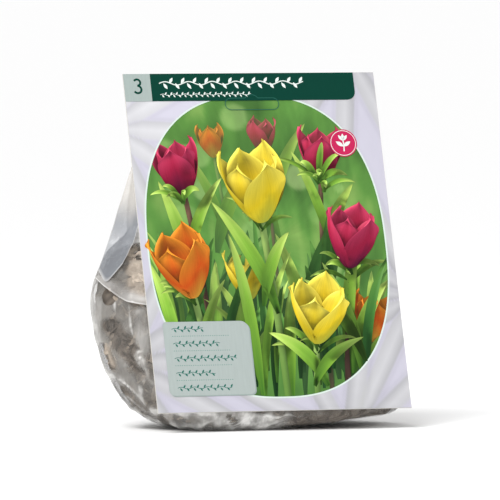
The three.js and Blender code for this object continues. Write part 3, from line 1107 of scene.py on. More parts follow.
def shaving_material():
    """Pale to brown wood, each ribbon its own tone, with dust between."""
    nodes = Nodes("wood_shaving")
    tone = nodes.attribute("tone")
    grain = nodes.noise(1.6, 4, stretch=(1, 0.4, 1))
    dust = nodes.noise(5, 5)
    colour = nodes.mix(tone, (0.045, 0.039, 0.034, 1), (0.78, 0.65, 0.52, 1))
    colour = nodes.mix(nodes.span(grain, 0.35, 0.7, 0, 0.35), colour, (0.15, 0.12, 0.095, 1))
    colour = nodes.mix(nodes.span(dust, 0.55, 0.74, 0, 0.7), colour, (0.055, 0.046, 0.04, 1))
    nodes.paint(colour, nodes.span(grain, 0.3, 0.7, 0.7, 0.9))
    nodes.bump(grain, 0.4, 0.2 * MM)
    return nodes.material


# ---------------------------------------------------------------- printed picture

# The card's picture starts as a small garden in millimetres: x to the right and y up on the card, and z
# towards the viewer. Each point gets its colour from the sun and the sky that reach it there, and then
# the garden is pressed flat into layers of ink. What grows behind the mat is cut by its opening.

BACKDROP_HEIGHT = 0.02 * MM  # the lowest ink stands this far off the board
MAT_HEIGHT = 0.17 * MM
LABEL_HEIGHT = 0.33 * MM
EDGE_MARGIN = 0.15  # from the ink to the card's cut edge, in mm
SUN = np.array([-0.42, 0.72, 0.55]) / np.linalg.norm([-0.42, 0.72, 0.55])
SKY_RAYS = 10
SHADOW_REACH = 90  # mm, towards the sun
SKY_REACH = 38  # mm, towards the rest of the sky
LEAF_FOLD = 0.35  # how far a leaf's edges stand up, as a share of half its width
PANEL_MIDDLE = (0.0, 97.2)
PANEL_HALF = (70.5, 89.2)
PANEL_ROUNDING = 2.45  # 2 is an ellipse
PANEL_COLUMNS = 240

YELLOW = ((0.62, 0.60, 0.06), (0.95, 0.66, 0.02), (1.0, 0.8, 0.1))
CRIMSON = ((0.16, 0.01, 0.05), (0.42, 0.015, 0.06), (0.62, 0.05, 0.13))
FLAME = ((0.85, 0.42, 0.05), (0.82, 0.11, 0.012), (0.93, 0.3, 0.03))


def turned(points, tilt, lean, spin=0.0):
    """Points turned about y by spin, tipped towards the viewer by tilt, then leant to the right."""
    cs, ss = math.cos(spin), math.sin(spin)
    ct, st = math.cos(tilt), math.sin(tilt)
    cl, sl = math.cos(lean), math.sin(lean)
    about_y = np.array([[cs, 0, ss], [0, 1, 0], [-ss, 0, cs]])
    about_x = np.array([[1, 0, 0], [0, ct, -st], [0, st, ct]])
    about_z = np.array([[cl, sl, 0], [-sl, cl, 0], [0, 0, 1]])
    return points @ (about_z @ about_x @ about_y).T


def blended(low, middle, high, share):
    """A colour for each share: low at 0, middle at a half and high at 1."""
    share = np.clip(share, 0, 1)[..., None]
    low, middle, high = (np.array(c) for c in (low, middle, high))
    first = low + (middle - low) * np.clip(share * 2, 0, 1)
    return first + (high - middle) * np.clip(share * 2 - 1, 0, 1)


def beside_path(path):
    """For each point of a path, a unit vector to its side and one square to both."""
    run = np.gradient(path, axis=0)
    run /= np.linalg.norm(run, axis=1)[:, None]
    side = np.cross(run, [0, 0, 1])
    side /= np.maximum(np.linalg.norm(side, axis=1), 1e-6)[:, None]
    return side, np.cross(side, run)


class Garden:
    """Surfaces of the picture: grids of points with a colour each, and whether the mat covers them."""

    def __init__(self, seed):
        self.draw = random.Random(seed)
        self.grids = []

    def add(self, places, colours, clipped):
        self.grids.append((places, colours, clipped))

    def petal(self, foot, height, turn, inner, openness, tilt, lean, spin, colours, clipped):
        draw = self.draw
        s, t = np.meshgrid(np.linspace(0, 1, 20), np.linspace(-1, 1, 13), indexing="ij")
        bulge = 0.22 + 0.8 * np.sin(0.75 * math.pi * s) ** 0.8 + openness * s**2.2
        radius = height * (0.30 if inner else 0.36) * bulge
        half_width = height * (0.1 * (1 - s) + 0.31 * np.sin(math.pi * s**1.05) ** 0.62)
        half_width *= 1 - 0.9 * s**9
        angle = turn + t * np.minimum(half_width / radius, 1.25)
        wave = draw.uniform(0, 6)
        radius = radius + height * (
            0.012 * np.sin(8 * s + 5 * t + wave) * t**2
            - 0.022 * np.exp(-((4 * t) ** 2)) * s
            + 0.05 * t**4 * s**2
        )
        up = height * (s - 0.05 * t**2 * s + 0.012 * np.sin(7 * t + wave) * s**4)
        up *= 0.93 if inner else 1.0
        local = np.stack([radius * np.sin(angle), up, radius * np.cos(angle)], axis=-1)
        places = turned(local, tilt, lean, spin) + np.array(foot)
        flame = s + 0.22 * np.abs(t) - 0.12 * np.exp(-((3 * t) ** 2))
        shade = blended(*colours, flame + 0.05 * draw.uniform(-1, 1))
        veins = 1 + 0.05 * np.sin(26 * t + wave) * s + 0.04 * draw.uniform(-1, 1)
        self.add(places, shade * veins[..., None], clipped)

    def bloom(self, foot, height, colours, openness, tilt, lean, clipped):
        """A six-petalled cup: three petals outside three others."""
        spin = self.draw.uniform(0, 2 * math.pi)
        for ring, inner in ((0, True), (1, False)):
            for k in range(3):
                turn = 2 * math.pi * (k + 0.5 * ring) / 3 + self.draw.uniform(-0.08, 0.08)
                spread = openness * self.draw.uniform(0.8, 1.2) + 0.05 * ring
                self.petal(foot, height, turn, inner, spread, tilt, lean, spin, colours, clipped)

    def stem(self, top, tilt, lean, low_y, radius, colours):
        """The near half of a round stalk from the ground up to a bloom's foot."""
        top = np.array(top)
        away = turned(np.array([0.0, -1.0, 0.0]), tilt, lean)
        drop = top[1] - low_y
        root = top + away * drop * 0.55 + np.array([0, -drop * 0.45, -6.0])
        path = curve(root, top + away * drop * 0.4, top - away, 26)
        side, near = beside_path(path)
        near *= np.sign(near[:, 2:3] + 1e-9)
        turns = np.linspace(-math.pi / 2, math.pi / 2, 7)
        lines = [path + radius * (math.sin(a) * side + math.cos(a) * near) for a in turns]
        low, high = np.array(colours)
        shades = low + (high - low) * np.linspace(0, 1, len(path))[:, None, None]
        self.add(np.stack(lines, axis=1), np.repeat(shades, len(turns), axis=1), True)

    def blade(self, root, tip, bow, width, colours, clipped, roll):
        """A long folded leaf from root to tip that bows out by the vector bow."""
        root, tip, bow = (np.array(p, float) for p in (root, tip, bow))
        path = curve(root, (root + tip) / 2 + bow, tip, 30)
        side, near = beside_path(path)
        s = np.linspace(0, 1, len(path))[:, None]
        turn = roll * (s - 0.3)
        rolled = side * np.cos(turn) + near * np.sin(turn)
        near = near * np.cos(turn) - side * np.sin(turn)
        half = 0.5 * width * np.sin(math.pi * np.clip(0.06 + 0.94 * s, 0, 1)) ** 0.75
        across = np.linspace(-1, 1, 7)
        lines = [path + half * (t * rolled + LEAF_FOLD * abs(t) ** 1.5 * near) for t in across]
        shade = np.clip(s * 0.9 + 0.12 * np.abs(across) + 0.03 * np.sin(across * 14), 0, 1)
        self.add(np.stack(lines, axis=1), blended(*colours, shade), clipped)


def sky_ways():
    """Drawn ways to the open sky."""
    draw = random.Random(5)
    ways = []
    while len(ways) < SKY_RAYS:
        way = Vector([draw.gauss(0, 1) for _ in range(3)]).normalized()
        if way.z > -0.1 and way.y > -0.7:
            ways.append(way)
    return ways


def light_at(point, normal, tree, sky):
    """The sunlight and the share of the sky that reach a point, some of it through thin petals."""
    sun = Vector(SUN)
    start = Vector(point) + Vector(normal) * 0.5
    behind = Vector(point) - Vector(normal) * 0.5
    front_lit = tree.ray_cast(start, sun, SHADOW_REACH)[0] is None
    back_lit = tree.ray_cast(behind, sun, SHADOW_REACH)[0] is None
    facing_sun = float(normal @ SUN)
    light = max(0.0, facing_sun) * front_lit + 0.45 * max(0.0, -facing_sun) * back_lit
    seen = [way for way in sky if way.dot(Vector(normal)) > 0]
    clear = [way for way in seen if tree.ray_cast(start, way, SKY_REACH)[0] is None]
    return light, len(clear) / max(1, len(seen))


def lit_colours(grids):
    """The colour of every point under the sun and the sky, with other surfaces in the way."""
    verts, faces = [], []
    for places, _, _ in grids:
        rows, columns, _ = places.shape
        faces += grid_faces(rows, columns, closed=False, start=len(verts))
        verts += [Vector(p) for p in places.reshape(-1, 3)]
    tree = BVHTree.FromPolygons(verts, faces)
    sky = sky_ways()
    results = []
    for places, colours, _ in grids:
        normals = np.cross(np.gradient(places, axis=1), np.gradient(places, axis=0))
        normals /= np.maximum(np.linalg.norm(normals, axis=-1), 1e-9)[..., None]
        normals *= np.where(normals[..., 2:3] < 0, -1, 1)
        pairs = zip(places.reshape(-1, 3), normals.reshape(-1, 3))
        lights = np.array([light_at(point, normal, tree, sky) for point, normal in pairs])
        light, open_sky = (
            soften(values.reshape(places.shape[:2]))[..., None] for values in lights.T
        )
        glow = (0.36 + 0.5 * open_sky) * np.array([0.9, 0.98, 1.0]) * 0.62
        glow = glow * (0.45 + 0.55 * open_sky)
        sunlight = light * np.array([1.02, 0.98, 0.86]) * 0.95
        shown = colours * (glow + sunlight) + 0.175 * np.clip(light - 0.72, 0, 1)
        far = np.clip(-places[..., 2:3] / 75, 0, 0.75)
        shown = shown * (1 - far) + np.array([0.06, 0.13, 0.045]) * far
        results.append(np.clip(shown, 0, 1))
    return results


def soften(values):
    """Evens out neighbouring values of a grid a little."""
    padded = np.pad(values, 1, mode="edge")
    beside = padded[:-2, 1:-1], padded[2:, 1:-1], padded[1:-1, :-2], padded[1:-1, 2:]
    return (4 * values + sum(beside)) / 8


def panel_edge(angle, grow=0.0):
    """The mat's opening at an angle, in mm on the card."""
    c, s = math.cos(angle), math.sin(angle)
    power = 2 / PANEL_ROUNDING
    return (
        PANEL_MIDDLE[0] + (PANEL_HALF[0] + grow) * math.copysign(abs(c) ** power, c),
        PANEL_MIDDLE[1] + (PANEL_HALF[1] + grow) * math.copysign(abs(s) ** power, s),
    )


def light_patches():
    """Drawn patches of light in the greenery: place, radius and strength."""
    draw = random.Random(21)
    limits = ((-62, 62), (60, 175), (3, 9), (0.05, 0.2))
    return [[draw.uniform(low, high) for low, high in limits] for _ in range(26)]


def backdrop_colour(x, y, patches):
    """Out-of-focus greenery, with light patches."""
    broad = 0.5 + 0.5 * noise.fractal(Vector((x / 34, y / 42, 3.1)), 0.8, 2.0, 3)
    streak = 0.5 + 0.5 * noise.fractal(Vector((x / 9, y / 34, 8.2)), 0.7, 2.0, 3)
    dark, mid, bright = (0.02, 0.06, 0.018), (0.10, 0.25, 0.05), (0.32, 0.47, 0.13)
    share = 0.55 * broad + 0.3 * streak + 0.1 * math.sin(y / 40)
    colour = blended(dark, mid, bright, np.array(share - 0.05 + 0.12 * (y - 60) / 120))
    for middle_x, middle_y, radius, strength in patches:
        away = math.hypot(x - middle_x, y - middle_y)
        inside = 1 - float(smoothstep(0.72 * radius, 1.1 * radius, away))
        colour = colour + inside * strength * np.array([0.75, 0.9, 0.4])
    return np.clip(colour, 0, 1)


class Print:
    """Vertices, faces and colours of one printed piece, in card coordinates."""

    def __init__(self):
        self.verts, self.faces, self.colours, self.streaks = [], [], [], []

    def add_grid(self, places, colours, heights, closed=False):
        """places are rows of (x, y) in mm, and heights the ink height of each in metres."""
        rows, columns = places.shape[:2]
        self.faces += grid_faces(rows, columns, closed, start=len(self.verts))
        flat = places.reshape(-1, places.shape[-1])
        for (x, y), height in zip(flat[:, :2], np.asarray(heights).ravel()):
            self.verts.append(on_card(x * MM, y * MM, height))
        self.colours += [tuple(c) for c in np.asarray(colours).reshape(-1, 3)]
        across, along = np.meshgrid(np.linspace(0, 1, columns), np.linspace(0, 1, rows))
        shift = 7.3 * len(self.streaks) % 61
        self.streaks += [(a + shift, b) for a, b in zip(across.ravel(), along.ravel())]

    def add_shape(self, outline, height, colour):
        """A flat patch of one ink."""
        first = len(self.verts)
        self.verts += [on_card(x * MM, y * MM, height) for x, y in outline]
        self.faces.append(tuple(range(first, first + len(outline))))
        self.colours += [colour] * len(outline)
        self.streaks += [(x / 40, y / 40) for x, y in outline]

    def add_box(self, box, radii, height, colour):
        """A patch with its own corner radius at lower left, lower right, upper right and upper left."""
        self.add_shape(rounded_box(*box, radii), height, colour)

    def make(self, name, material):
        verts = [Vector(v) for v in self.verts]
        faces = []
        for face in self.faces:  # a leaf's rows narrow to a point
            sides = zip(face, face[-1:] + face[:-1])
            corners = [i for i, last in sides if (verts[i] - verts[last]).length > 1e-7]
            if len(corners) > 2:
                faces.append(corners)
        mesh = new_piece(name, verts, faces).data
        for polygon in mesh.polygons:
            if polygon.normal.dot(CARD_OUT) < 0:
                polygon.flip()
        inks = mesh.color_attributes.new("ink", "FLOAT_COLOR", "POINT")
        inks.data.foreach_set("color", [x for c in self.colours for x in (*c, 1.0)])
        streaks = mesh.attributes.new("streak", "FLOAT_VECTOR", "POINT")
        streaks.data.foreach_set("vector", [x for s in self.streaks for x in (*s, 0.0)])
        mesh.materials.append(material)


def print_material(name, streaks):
    """Ink on varnished board: fine streaks along each shape, and a very fine screen."""
    nodes = Nodes(name)
    veins = nodes.texture(nodes.attribute("streak", "Vector"), (34, 3, 1))
    change = nodes.span(veins, 0.3, 0.7, 1 - streaks, 1 + streaks)
    inputs = {0: nodes.attribute("ink", "Color"), "Scale": change}
    shade = nodes.node("ShaderNodeVectorMath", inputs, operation="SCALE").outputs[0]
    fleck = nodes.noise(1.1, 2)
    nodes.paint(shade, nodes.span(fleck, 0.3, 0.7, 0.37, 0.49))
    nodes.shader.inputs["Specular IOR Level"].default_value = 0.1
    nodes.bump(fleck, 0.04, 0.02 * MM)
    return nodes.material


GREEN_STALK = ((0.12, 0.24, 0.05), (0.34, 0.5, 0.14))
DARK_STALK = ((0.10, 0.05, 0.04), (0.22, 0.12, 0.08))
FRESH = ((0.05, 0.17, 0.02), (0.22, 0.43, 0.05), (0.52, 0.68, 0.16))
DEEP = ((0.01, 0.06, 0.015), (0.05, 0.17, 0.035), (0.13, 0.31, 0.06))

# Blooms: x, y, z of the foot and height in mm, ink, openness, tilt, lean, and whether the mat cuts it.
BLOOMS = [
    (-2, 112, 34, 46, YELLOW, 0.16, 0.42, -0.08, False),
    (23, 40, 30, 40, YELLOW, 0.3, 0.5, 0.16, False),
    (-47, 68, 28, 42, FLAME, 0.2, 0.42, -0.2, False),
    (47, 84, 22, 38, CRIMSON, 0.12, 0.36, 0.2, False),
    (-46, 128, 6, 34, CRIMSON, 0.1, 0.3, -0.14, True),
    (36, 136, -4, 32, CRIMSON, 0.16, 0.3, 0.1, True),
    (56, 40, 4, 30, FLAME, 0.14, 0.35, 0.18, True),
    (-14, 66, -12, 30, YELLOW, 0.1, 0.25, -0.05, True),
    (4, 152, -34, 22, CRIMSON, 0.1, 0.2, 0.0, True),
    (-26, 150, -40, 20, FLAME, 0.1, 0.2, -0.1, True),
]


def plant_blooms(garden):
    """The blooms of BLOOMS on their stalks, each with a pair of leaves."""
    draw = garden.draw
    for x, y, z, height, colours, openness, tilt, lean, clipped in BLOOMS:
        garden.bloom((x, y, z), height, colours, openness, tilt, lean, clipped)
        stalk = DARK_STALK if colours is CRIMSON else GREEN_STALK
        garden.stem((x, y, z), tilt * 0.4, lean, 6, 0.045 * height, stalk)
        for side in (-1, 1):
            reach = draw.uniform(14, 30) * side
            root = (x - 4 * side, max(14, y - draw.uniform(48, 66)), z - 8)
            tip_x = float(np.clip(x + reach, -70, 70))
            tip = (tip_x, y + draw.uniform(-14, 18), z + draw.uniform(-4, 8))
            behind_mat = clipped or abs(x + reach) > 60
            width = draw.uniform(5.5, 9)
            roll = draw.uniform(-1.2, 1.2)
            garden.blade(root, tip, (-0.25 * reach, 8, 10), width, FRESH, behind_mat, roll)


def plant_undergrowth(garden):
    draw = garden.draw
    for _ in range(70):
        x, z = draw.uniform(-66, 66), draw.uniform(-46, 16)
        length = draw.uniform(45, 100)
        lean = draw.gauss(0, 20)
        root = (x, draw.uniform(2, 26), z)
        tip = (float(np.clip(x + lean, -72, 72)), root[1] + length, z + draw.uniform(-10, 16))
        colours = FRESH if draw.random() < 0.5 + z / 90 else DEEP
        bow = (-0.35 * lean, 10, draw.uniform(4, 14))
        width = draw.uniform(3.5, 8.5)
        garden.blade(root, tip, bow, width, colours, True, draw.uniform(-1.5, 1.5))


def plant_arching_tips(garden):
    """Narrow leaves in front, which spring from the feet of the larger blooms."""
    draw = garden.draw
    for _ in range(46):
        x, y = draw.choice([bloom[:2] for bloom in BLOOMS[:6]])
        z = 20 + draw.uniform(0, 14)
        turn = draw.uniform(-1.25, 1.25)
        reach = draw.uniform(16, 34)
        root = (x + draw.uniform(-2, 2), y - draw.uniform(0, 10), z - 14)
        tip = (
            float(np.clip(root[0] + reach * math.sin(turn), -71, 71)),
            min(176, root[1] + reach * math.cos(turn) * draw.uniform(0.1, 1.0)),
            z + draw.uniform(-8, 6),
        )
        width = draw.uniform(2.4, 4.4)
        behind_mat = abs(tip[0]) > 66 or draw.random() < 0.5
        garden.blade(root, tip, (0, 8, 8), width, FRESH, behind_mat, draw.uniform(-1, 1))


def make_picture():
    garden = Garden(3)
    plant_blooms(garden)
    plant_undergrowth(garden)
    plant_arching_tips(garden)
    picture = Print()
    angles = np.linspace(0, 2 * math.pi, PANEL_COLUMNS, endpoint=False)
    edge = np.array([panel_edge(a, 1.5) for a in angles])
    middle = np.array(PANEL_MIDDLE)
    places = middle + np.linspace(0.02, 1, 64)[:, None, None] * (edge - middle)
    patches = light_patches()
    colours = [backdrop_colour(x, y, patches) for x, y in places.reshape(-1, 2)]
    picture.add_grid(places, colours, np.full(len(colours), BACKDROP_HEIGHT), closed=True)
    picture.faces.append(tuple(range(PANEL_COLUMNS)))
    shown = lit_colours(garden.grids)
    for behind_mat, low, high in (
        (True, BACKDROP_HEIGHT, MAT_HEIGHT), (False, MAT_HEIGHT, LABEL_HEIGHT),
    ):
        chosen = [(g[0], c) for g, c in zip(garden.grids, shown) if g[2] == behind_mat]
        depths = np.concatenate([places[..., 2].ravel() for places, _ in chosen])
        for places, colours in chosen:
            share = (places[..., 2] - depths.min()) / (depths.max() - depths.min())
            picture.add_grid(places[..., :2], colours, low + (high - low) * (0.04 + 0.92 * share))
    picture.make("card_picture", print_material("picture_ink", 0.09))


# ---------------------------------------------------------------- the card's ground and plain marks

GROUND_ROWS = 44
GROUND_COLUMNS = 480
SAGE = (0.375, 0.425, 0.41)
# The label's sage ink, painted a little darker for the header's square to offset the stronger light on
# the card's upper part: painted shade.
SQUARE_SAGE_SHADED = (0.343, 0.403, 0.385)
DARK_GREEN = (0.0005, 0.043, 0.028)
WHITE_INK = (0.72, 0.78, 0.74)
HEADER = (-59.0, 62.5, 183.5, 199.9)  # left, right, bottom and top, in mm on the card
LABEL = (-67.0, -16.5, 10.0, 53.0)
LABEL_LINES = 5
MARK_HEIGHT = LABEL_HEIGHT + 0.01 * MM  # of the plates' ink
RAISED = MARK_HEIGHT + 0.01 * MM  # and of what is printed over them
BADGE = (52.0, 157.5, 8.2)
# The ground's large flowers: middle, number of petals, and the first petal's turn.
DAISIES = [
    (84, 66, 11, 0.2),
    (-86, 168, 11, 0.5),
    (36, -22, 10, 0.1),
    (60, 214, 12, 0.4),
    (-92, 30, 12, 0.0),
]
DAISY_RADIUS = 92


def ground_colour(x, y):
    """Pale lilac ground with large faint petals, lightest at the upper left."""
    tint = 0.5 + 0.5 * noise.noise(Vector((x / 60, y / 60, 4)))
    shade = 1 - float(smoothstep(110, 170, y) * smoothstep(30, -30, x))
    colour = np.array([0.57, 0.555, 0.645]) * (0.94 + 0.12 * tint) * (1 - 0.08 * shade)
    for cx, cy, petals, start in DAISIES:
        away = math.hypot(x - cx, y - cy)
        if away > DAISY_RADIUS:
            continue
        turn = (math.atan2(y - cy, x - cx) - start) / (2 * math.pi) * petals
        nearest = turn - round(turn)
        across = abs(nearest) * 2 * math.pi * away / petals
        widest = 0.5 * min(2.1 * away * math.pi / petals, 12)
        half = widest * math.sqrt(max(0.0, 1 - (away / 90) ** 4))
        inside = 1 - float(smoothstep(half - 1.2, half + 0.4, across))
        rounding = (0.1 + 0.12 * (nearest > 0)) * across / max(half, 1)
        light = 0.69 - rounding - 0.16 * math.exp(-away / 18) - 0.13 * shade
        shadow = math.exp(-((across - half - 1.0) / 1.3) ** 2) * 0.08
        petal = light * np.array([1, 1.005, 1.01])
        colour = colour * (1 - shadow)
        colour = colour + (petal - colour) * inside * 0.75
    return np.clip(colour, 0, 1)


def make_ground():
    """The ground around the picture: a mat from the picture's edge to the card's edge."""
    angles = np.linspace(0, 2 * math.pi, GROUND_COLUMNS, endpoint=False)
    inner = np.array([panel_edge(a) for a in angles])
    middle = np.array(PANEL_MIDDLE)
    ways = inner - middle
    half = 0.5 * CARD_WIDTH / MM - EDGE_MARGIN
    top, bottom = CARD_HEIGHT / MM - EDGE_MARGIN, EDGE_MARGIN
    with np.errstate(divide="ignore"):
        reach_x = half / np.abs(ways[:, 0])
        reach_y = np.where(ways[:, 1] > 0, top - middle[1], middle[1] - bottom) / np.abs(ways[:, 1])
    outer = middle + ways * np.minimum(reach_x, reach_y)[:, None]
    for corner in ((-half, top), (half, top), (half, bottom), (-half, bottom)):
        outer[np.linalg.norm(outer - corner, axis=1).argmin()] = corner
    places = inner + np.linspace(0, 1, GROUND_ROWS)[:, None, None] * (outer - inner)
    ground = Print()
    colours = [ground_colour(x, y) for x, y in places.reshape(-1, 2)]
    ground.add_grid(places, colours, np.full(len(colours), MAT_HEIGHT), closed=True)
    ground.make("card_ground", print_material("ground_ink", 0.015))


def arc(x, y, radius, start, end, count):
    """Points along part of a circle, from start to end in degrees."""
    angles = np.radians(np.linspace(start, end, count))
    return [(x + radius * math.cos(a), y + radius * math.sin(a)) for a in angles]


def rounded_box(left, right, bottom, top, radii):
    """An outline, with a corner radius at lower left, lower right, upper right and upper left."""
    corners = ((left, bottom, 1, 1), (right, bottom, -1, 1), (right, top, -1, -1), (left, top, 1, -1))
    outline = []
    for number, ((x, y, inward_x, inward_y), radius) in enumerate(zip(corners, radii)):
        start = 180 + 90 * number
        x, y = x + inward_x * radius, y + inward_y * radius
        outline += arc(x, y, radius, start, start + 90, 7 if radius else 1)
    return outline


def stroke(marks, path, widths, height, colour):
    """A line of ink along a path."""
    path = np.array(path, float)
    run = np.gradient(path, axis=0)
    run /= np.linalg.norm(run, axis=1)[:, None]
    side = np.stack([-run[:, 1], run[:, 0]], axis=1) * 0.5 * np.broadcast_to(widths, len(path))[:, None]
    places = np.stack([path - side, path + side], axis=1)
    marks.add_grid(places, [colour] * (2 * len(path)), np.full(2 * len(path), height))


def leaf_mark(marks, x, y, length, turn, height, colour):
    """A small pointed leaf."""
    s = np.linspace(0, 1, 9)
    path = np.stack([x + length * s * math.cos(turn), y + length * s * math.sin(turn)], axis=1)
    stroke(marks, path, 0.42 * length * np.sin(math.pi * np.clip(s, 0.03, 0.99)) + 0.05, height, colour)


def vine(marks, left, right, y, size, height, colour):
    """A plain running vine with leaves on alternate sides."""
    xs = np.arange(left, right, 0.5)
    waves = y + 0.16 * size * np.sin((xs - left) * math.pi / (1.1 * size))
    stroke(marks, np.stack([xs, waves], axis=1), 0.09 * size, height, colour)
    for number, x in enumerate(np.arange(left + 0.4 * size, right - 0.3 * size, 0.55 * size)):
        side = 1 if number % 2 else -1
        leaf_mark(marks, x, y, 0.62 * size, side * 1.0, height + 0.002 * MM, colour)


def euro_slot():
    """The hang hole's outline, scored but not punched out. It is printed as a thin dark line: painted
    shade of the cut.
    """
    shoulder = CARD_HEIGHT / MM - 15
    half, end, bump, rise = 16.0, 3.5, 4.6, 2.0  # half its width, two radii, and the bump's height
    reach = math.degrees(math.acos((bump - rise) / bump))
    outline = arc(half - end, shoulder - end, end, -90, 90, 14)
    outline += arc(0, shoulder + rise - bump, bump, 90 - reach, 90 + reach, 14)
    outline += arc(end - half, shoulder - end, end, 90, 270, 14)
    return outline + outline[:1]


def add_header(marks):
    """The dark band with two plain vines, and the count in its square."""
    left, right, bottom, top = HEADER
    marks.add_box(HEADER, (0, 5, 0, 0), MARK_HEIGHT, DARK_GREEN)
    vine(marks, left + 5, right - 30, bottom + 10.6, 6.4, RAISED, WHITE_INK)
    vine(marks, left + 5, right - 62, bottom + 3.8, 3.0, RAISED, WHITE_INK)
    marks.add_box((-74.8, left, bottom, top), (0, 0, 0, 0), MARK_HEIGHT, SQUARE_SAGE_SHADED)
    add_three(marks, -67.0, bottom + 9.2, RAISED)


def add_label(marks):
    """The label plate over its shadow, with lines of plain vine between dotted rules."""
    left, right, bottom, top = LABEL
    radii = (3, 3, 5, 2)
    shadow = (left + 0.7, right + 0.7, bottom - 0.7, top - 0.7)
    marks.add_box(shadow, radii, MARK_HEIGHT - 0.006 * MM, (0.3, 0.36, 0.34))
    marks.add_box(LABEL, radii, MARK_HEIGHT, SAGE)
    pitch = (top - bottom) / LABEL_LINES
    for line in range(LABEL_LINES):
        middle = top - pitch * (line + 0.5)
        end = left + 24 + 4.5 * ((line * 2) % 5)
        vine(marks, left + 5, end, middle, 3.6, RAISED, (0.01, 0.13, 0.1))
        if line:
            rule = middle + pitch / 2
            for x in np.arange(left + 5, right - 12, 1.3):
                marks.add_box((x, x + 0.55, rule, rule + 0.4), (0, 0, 0, 0), RAISED, (0.12, 0.25, 0.21))


def add_badge(marks):
    """The round badge with a ring and a plain sprig."""
    x, y, radius = BADGE
    marks.add_shape(arc(x, y, radius, 0, 360, 49)[:-1], MARK_HEIGHT, (0.5, 0.02, 0.09))
    stroke(marks, arc(x, y, radius * 0.9, 0, 360, 49), 0.35, RAISED, WHITE_INK)
    stroke(marks, [(x, y - 5), (x + 0.3, y - 1.5), (x, y + 2)], 0.7, RAISED, WHITE_INK)
    for turn in (0.6, math.pi - 0.6):
        leaf_mark(marks, x, y - 2, 5.2, turn, RAISED + 0.002 * MM, WHITE_INK)
    for turn in (0.9, math.pi / 2, math.pi - 0.9):
        leaf_mark(marks, x, y + 1.4, 4.2, turn, RAISED + 0.002 * MM, WHITE_INK)


def make_marks():
    """The header band, the label plate, the badge, the picture's rim and the hang slot's outline."""
    marks = Print()
    add_header(marks)
    add_label(marks)
    add_badge(marks)
    rim = [panel_edge(a, 0.3) for a in np.linspace(0, 2 * math.pi, PANEL_COLUMNS + 1)]
    stroke(marks, rim, 0.9, MAT_HEIGHT + 0.004 * MM, (0.62, 0.72, 0.66))
    # The slot's thin dark line is painted shade of the scored cut.
    stroke(marks, euro_slot(), 0.35, RAISED + 0.004 * MM, (0.02, 0.11, 0.085))
    marks.make("card_marks", print_material("mark_ink", 0.03))


def add_three(marks, x, y, height):
    """The number 3: how many bulbs the pack holds."""
    stroke(marks, arc(x, y + 2.0, 1.9, 150, -90, 15), 1.25, height, DARK_GREEN)
    stroke(marks, arc(x, y - 2.1, 2.2, 90, -150, 15), 1.25, height + 0.003 * MM, DARK_GREEN)


def board_material():
    """White uncoated board, for the back and the cut edges of the card."""
    nodes = Nodes("board")
    fibre = nodes.noise(0.7, 4)
    cloud = nodes.noise(14, 3)
    colour = nodes.mix(nodes.span(fibre, 0.3, 0.7), (0.62, 0.6, 0.55, 1), (0.72, 0.7, 0.66, 1))
    colour = nodes.mix(nodes.span(cloud, 0.35, 0.7, 0, 0.3), colour, (0.6, 0.59, 0.57, 1))
    nodes.paint(colour, nodes.span(fibre, 0.3, 0.7, 0.75, 0.9))
    nodes.bump(fibre, 0.15, 0.05 * MM)
    return nodes.material


def tape_material():
    """Clear glossy tape over pale glue."""
    nodes = Nodes("clear_tape")
    glue = nodes.noise(6, 4, distortion=1.2)
    ends = nodes.noise(1.5, 2)
    colour = nodes.mix(nodes.span(glue, 0.4, 0.62), (0.5, 0.47, 0.38, 1), (0.66, 0.64, 0.57, 1))
    nodes.paint(colour, nodes.span(ends, 0.3, 0.7, 0.12, 0.25))
    nodes.bump(glue, 0.12, 0.2 * MM)
    return nodes.material


def repaint(node, material):
    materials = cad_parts[node].data.materials
    for index in range(len(materials)):
        materials[index] = material


# ---------------------------------------------------------------- camera, lights and floor

WORLD_LIGHT = 0.65
SUN_LIGHT = 1.6
SUN_WIDTH = 35  # degrees


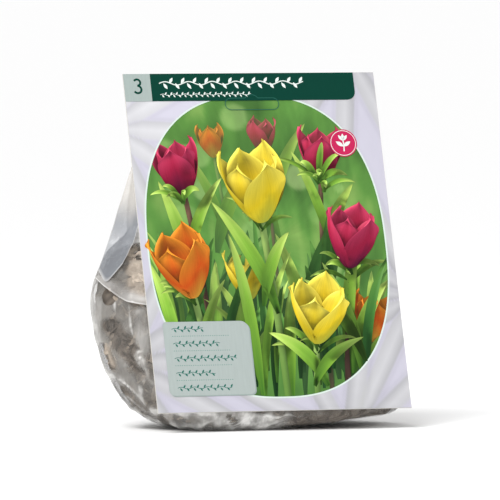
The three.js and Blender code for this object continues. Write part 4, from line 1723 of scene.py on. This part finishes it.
def set_camera():
    back = facing(CAMERA_AZIMUTH, CAMERA_ELEVATION)
    right = Vector((math.cos(CAMERA_AZIMUTH), math.sin(CAMERA_AZIMUTH), 0))
    up = back.cross(right)
    aim = on_card(0, CARD_HEIGHT / 2) - right * AIM_LEFT - up * AIM_DOWN
    data = bpy.data.cameras.new("camera")
    data.sensor_width = SENSOR
    data.lens = SENSOR * CAMERA_DISTANCE / FRAME_WIDTH
    data.clip_end = 100
    camera = add_object("camera", data)
    camera.location = aim + back * CAMERA_DISTANCE
    camera.rotation_euler = back.to_track_quat("Z", "Y").to_euler()
    bpy.context.scene.camera = camera


def add_light(name, kind, azimuth, elevation, distance, power):
    """A light at this distance from the middle of the pack, turned to face the pack."""
    data = bpy.data.lights.new(name, kind)
    data.energy = power
    light = add_object(name, data)
    away = facing(math.radians(azimuth), math.radians(elevation))
    light.location = Vector((0, 0, 0.09)) + away * distance
    light.rotation_euler = away.to_track_quat("Z", "Y").to_euler()
    return data


def add_softbox(name, azimuth, elevation, distance, size, power):
    data = add_light(name, "AREA", azimuth, elevation, distance, power)
    data.shape = "SQUARE"
    data.size = size


def set_stage():
    """White surroundings, a broad distant light, three softboxes and a pale floor."""
    scene = bpy.context.scene
    scene.view_settings.view_transform = "Standard"
    world = bpy.data.worlds.new("studio")
    world.use_nodes = True
    background = world.node_tree.nodes["Background"]
    background.inputs["Color"].default_value = (1, 1, 1, 1)
    background.inputs["Strength"].default_value = WORLD_LIGHT
    scene.world = world

    sun = add_light("sky_light", "SUN", -50, 52, 2, SUN_LIGHT)
    sun.angle = math.radians(SUN_WIDTH)
    add_softbox("key_light", -62, 48, 1.2, 0.45, 4)
    add_softbox("fill_light", 75, 35, 1.6, 0.9, 2)
    add_softbox("rim_light", 170, 45, 1.4, 0.5, 3)

    floor = add_object("floor", level_square("floor", 60))
    nodes = Nodes("studio_floor")
    nodes.paint((0.96, 0.96, 0.96, 1), 0.9)
    floor.data.materials.append(nodes.material)


set_camera()
set_stage()

BULB_MATERIAL = bulb_material()
for number, bulb in enumerate(BULBS):
    make_bulb(bulb, seed=number + 1)
packed = fill_solid()
upper_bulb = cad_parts["bulb_upper"].data
make_shavings(tree_of(packed))
FLAP_MATERIAL = film_material("doubled_film", doubled=True)
make_film([packed, upper_bulb])
make_picture()
make_ground()
make_marks()
repaint("printed_card", board_material())
repaint("tape_strip", tape_material())
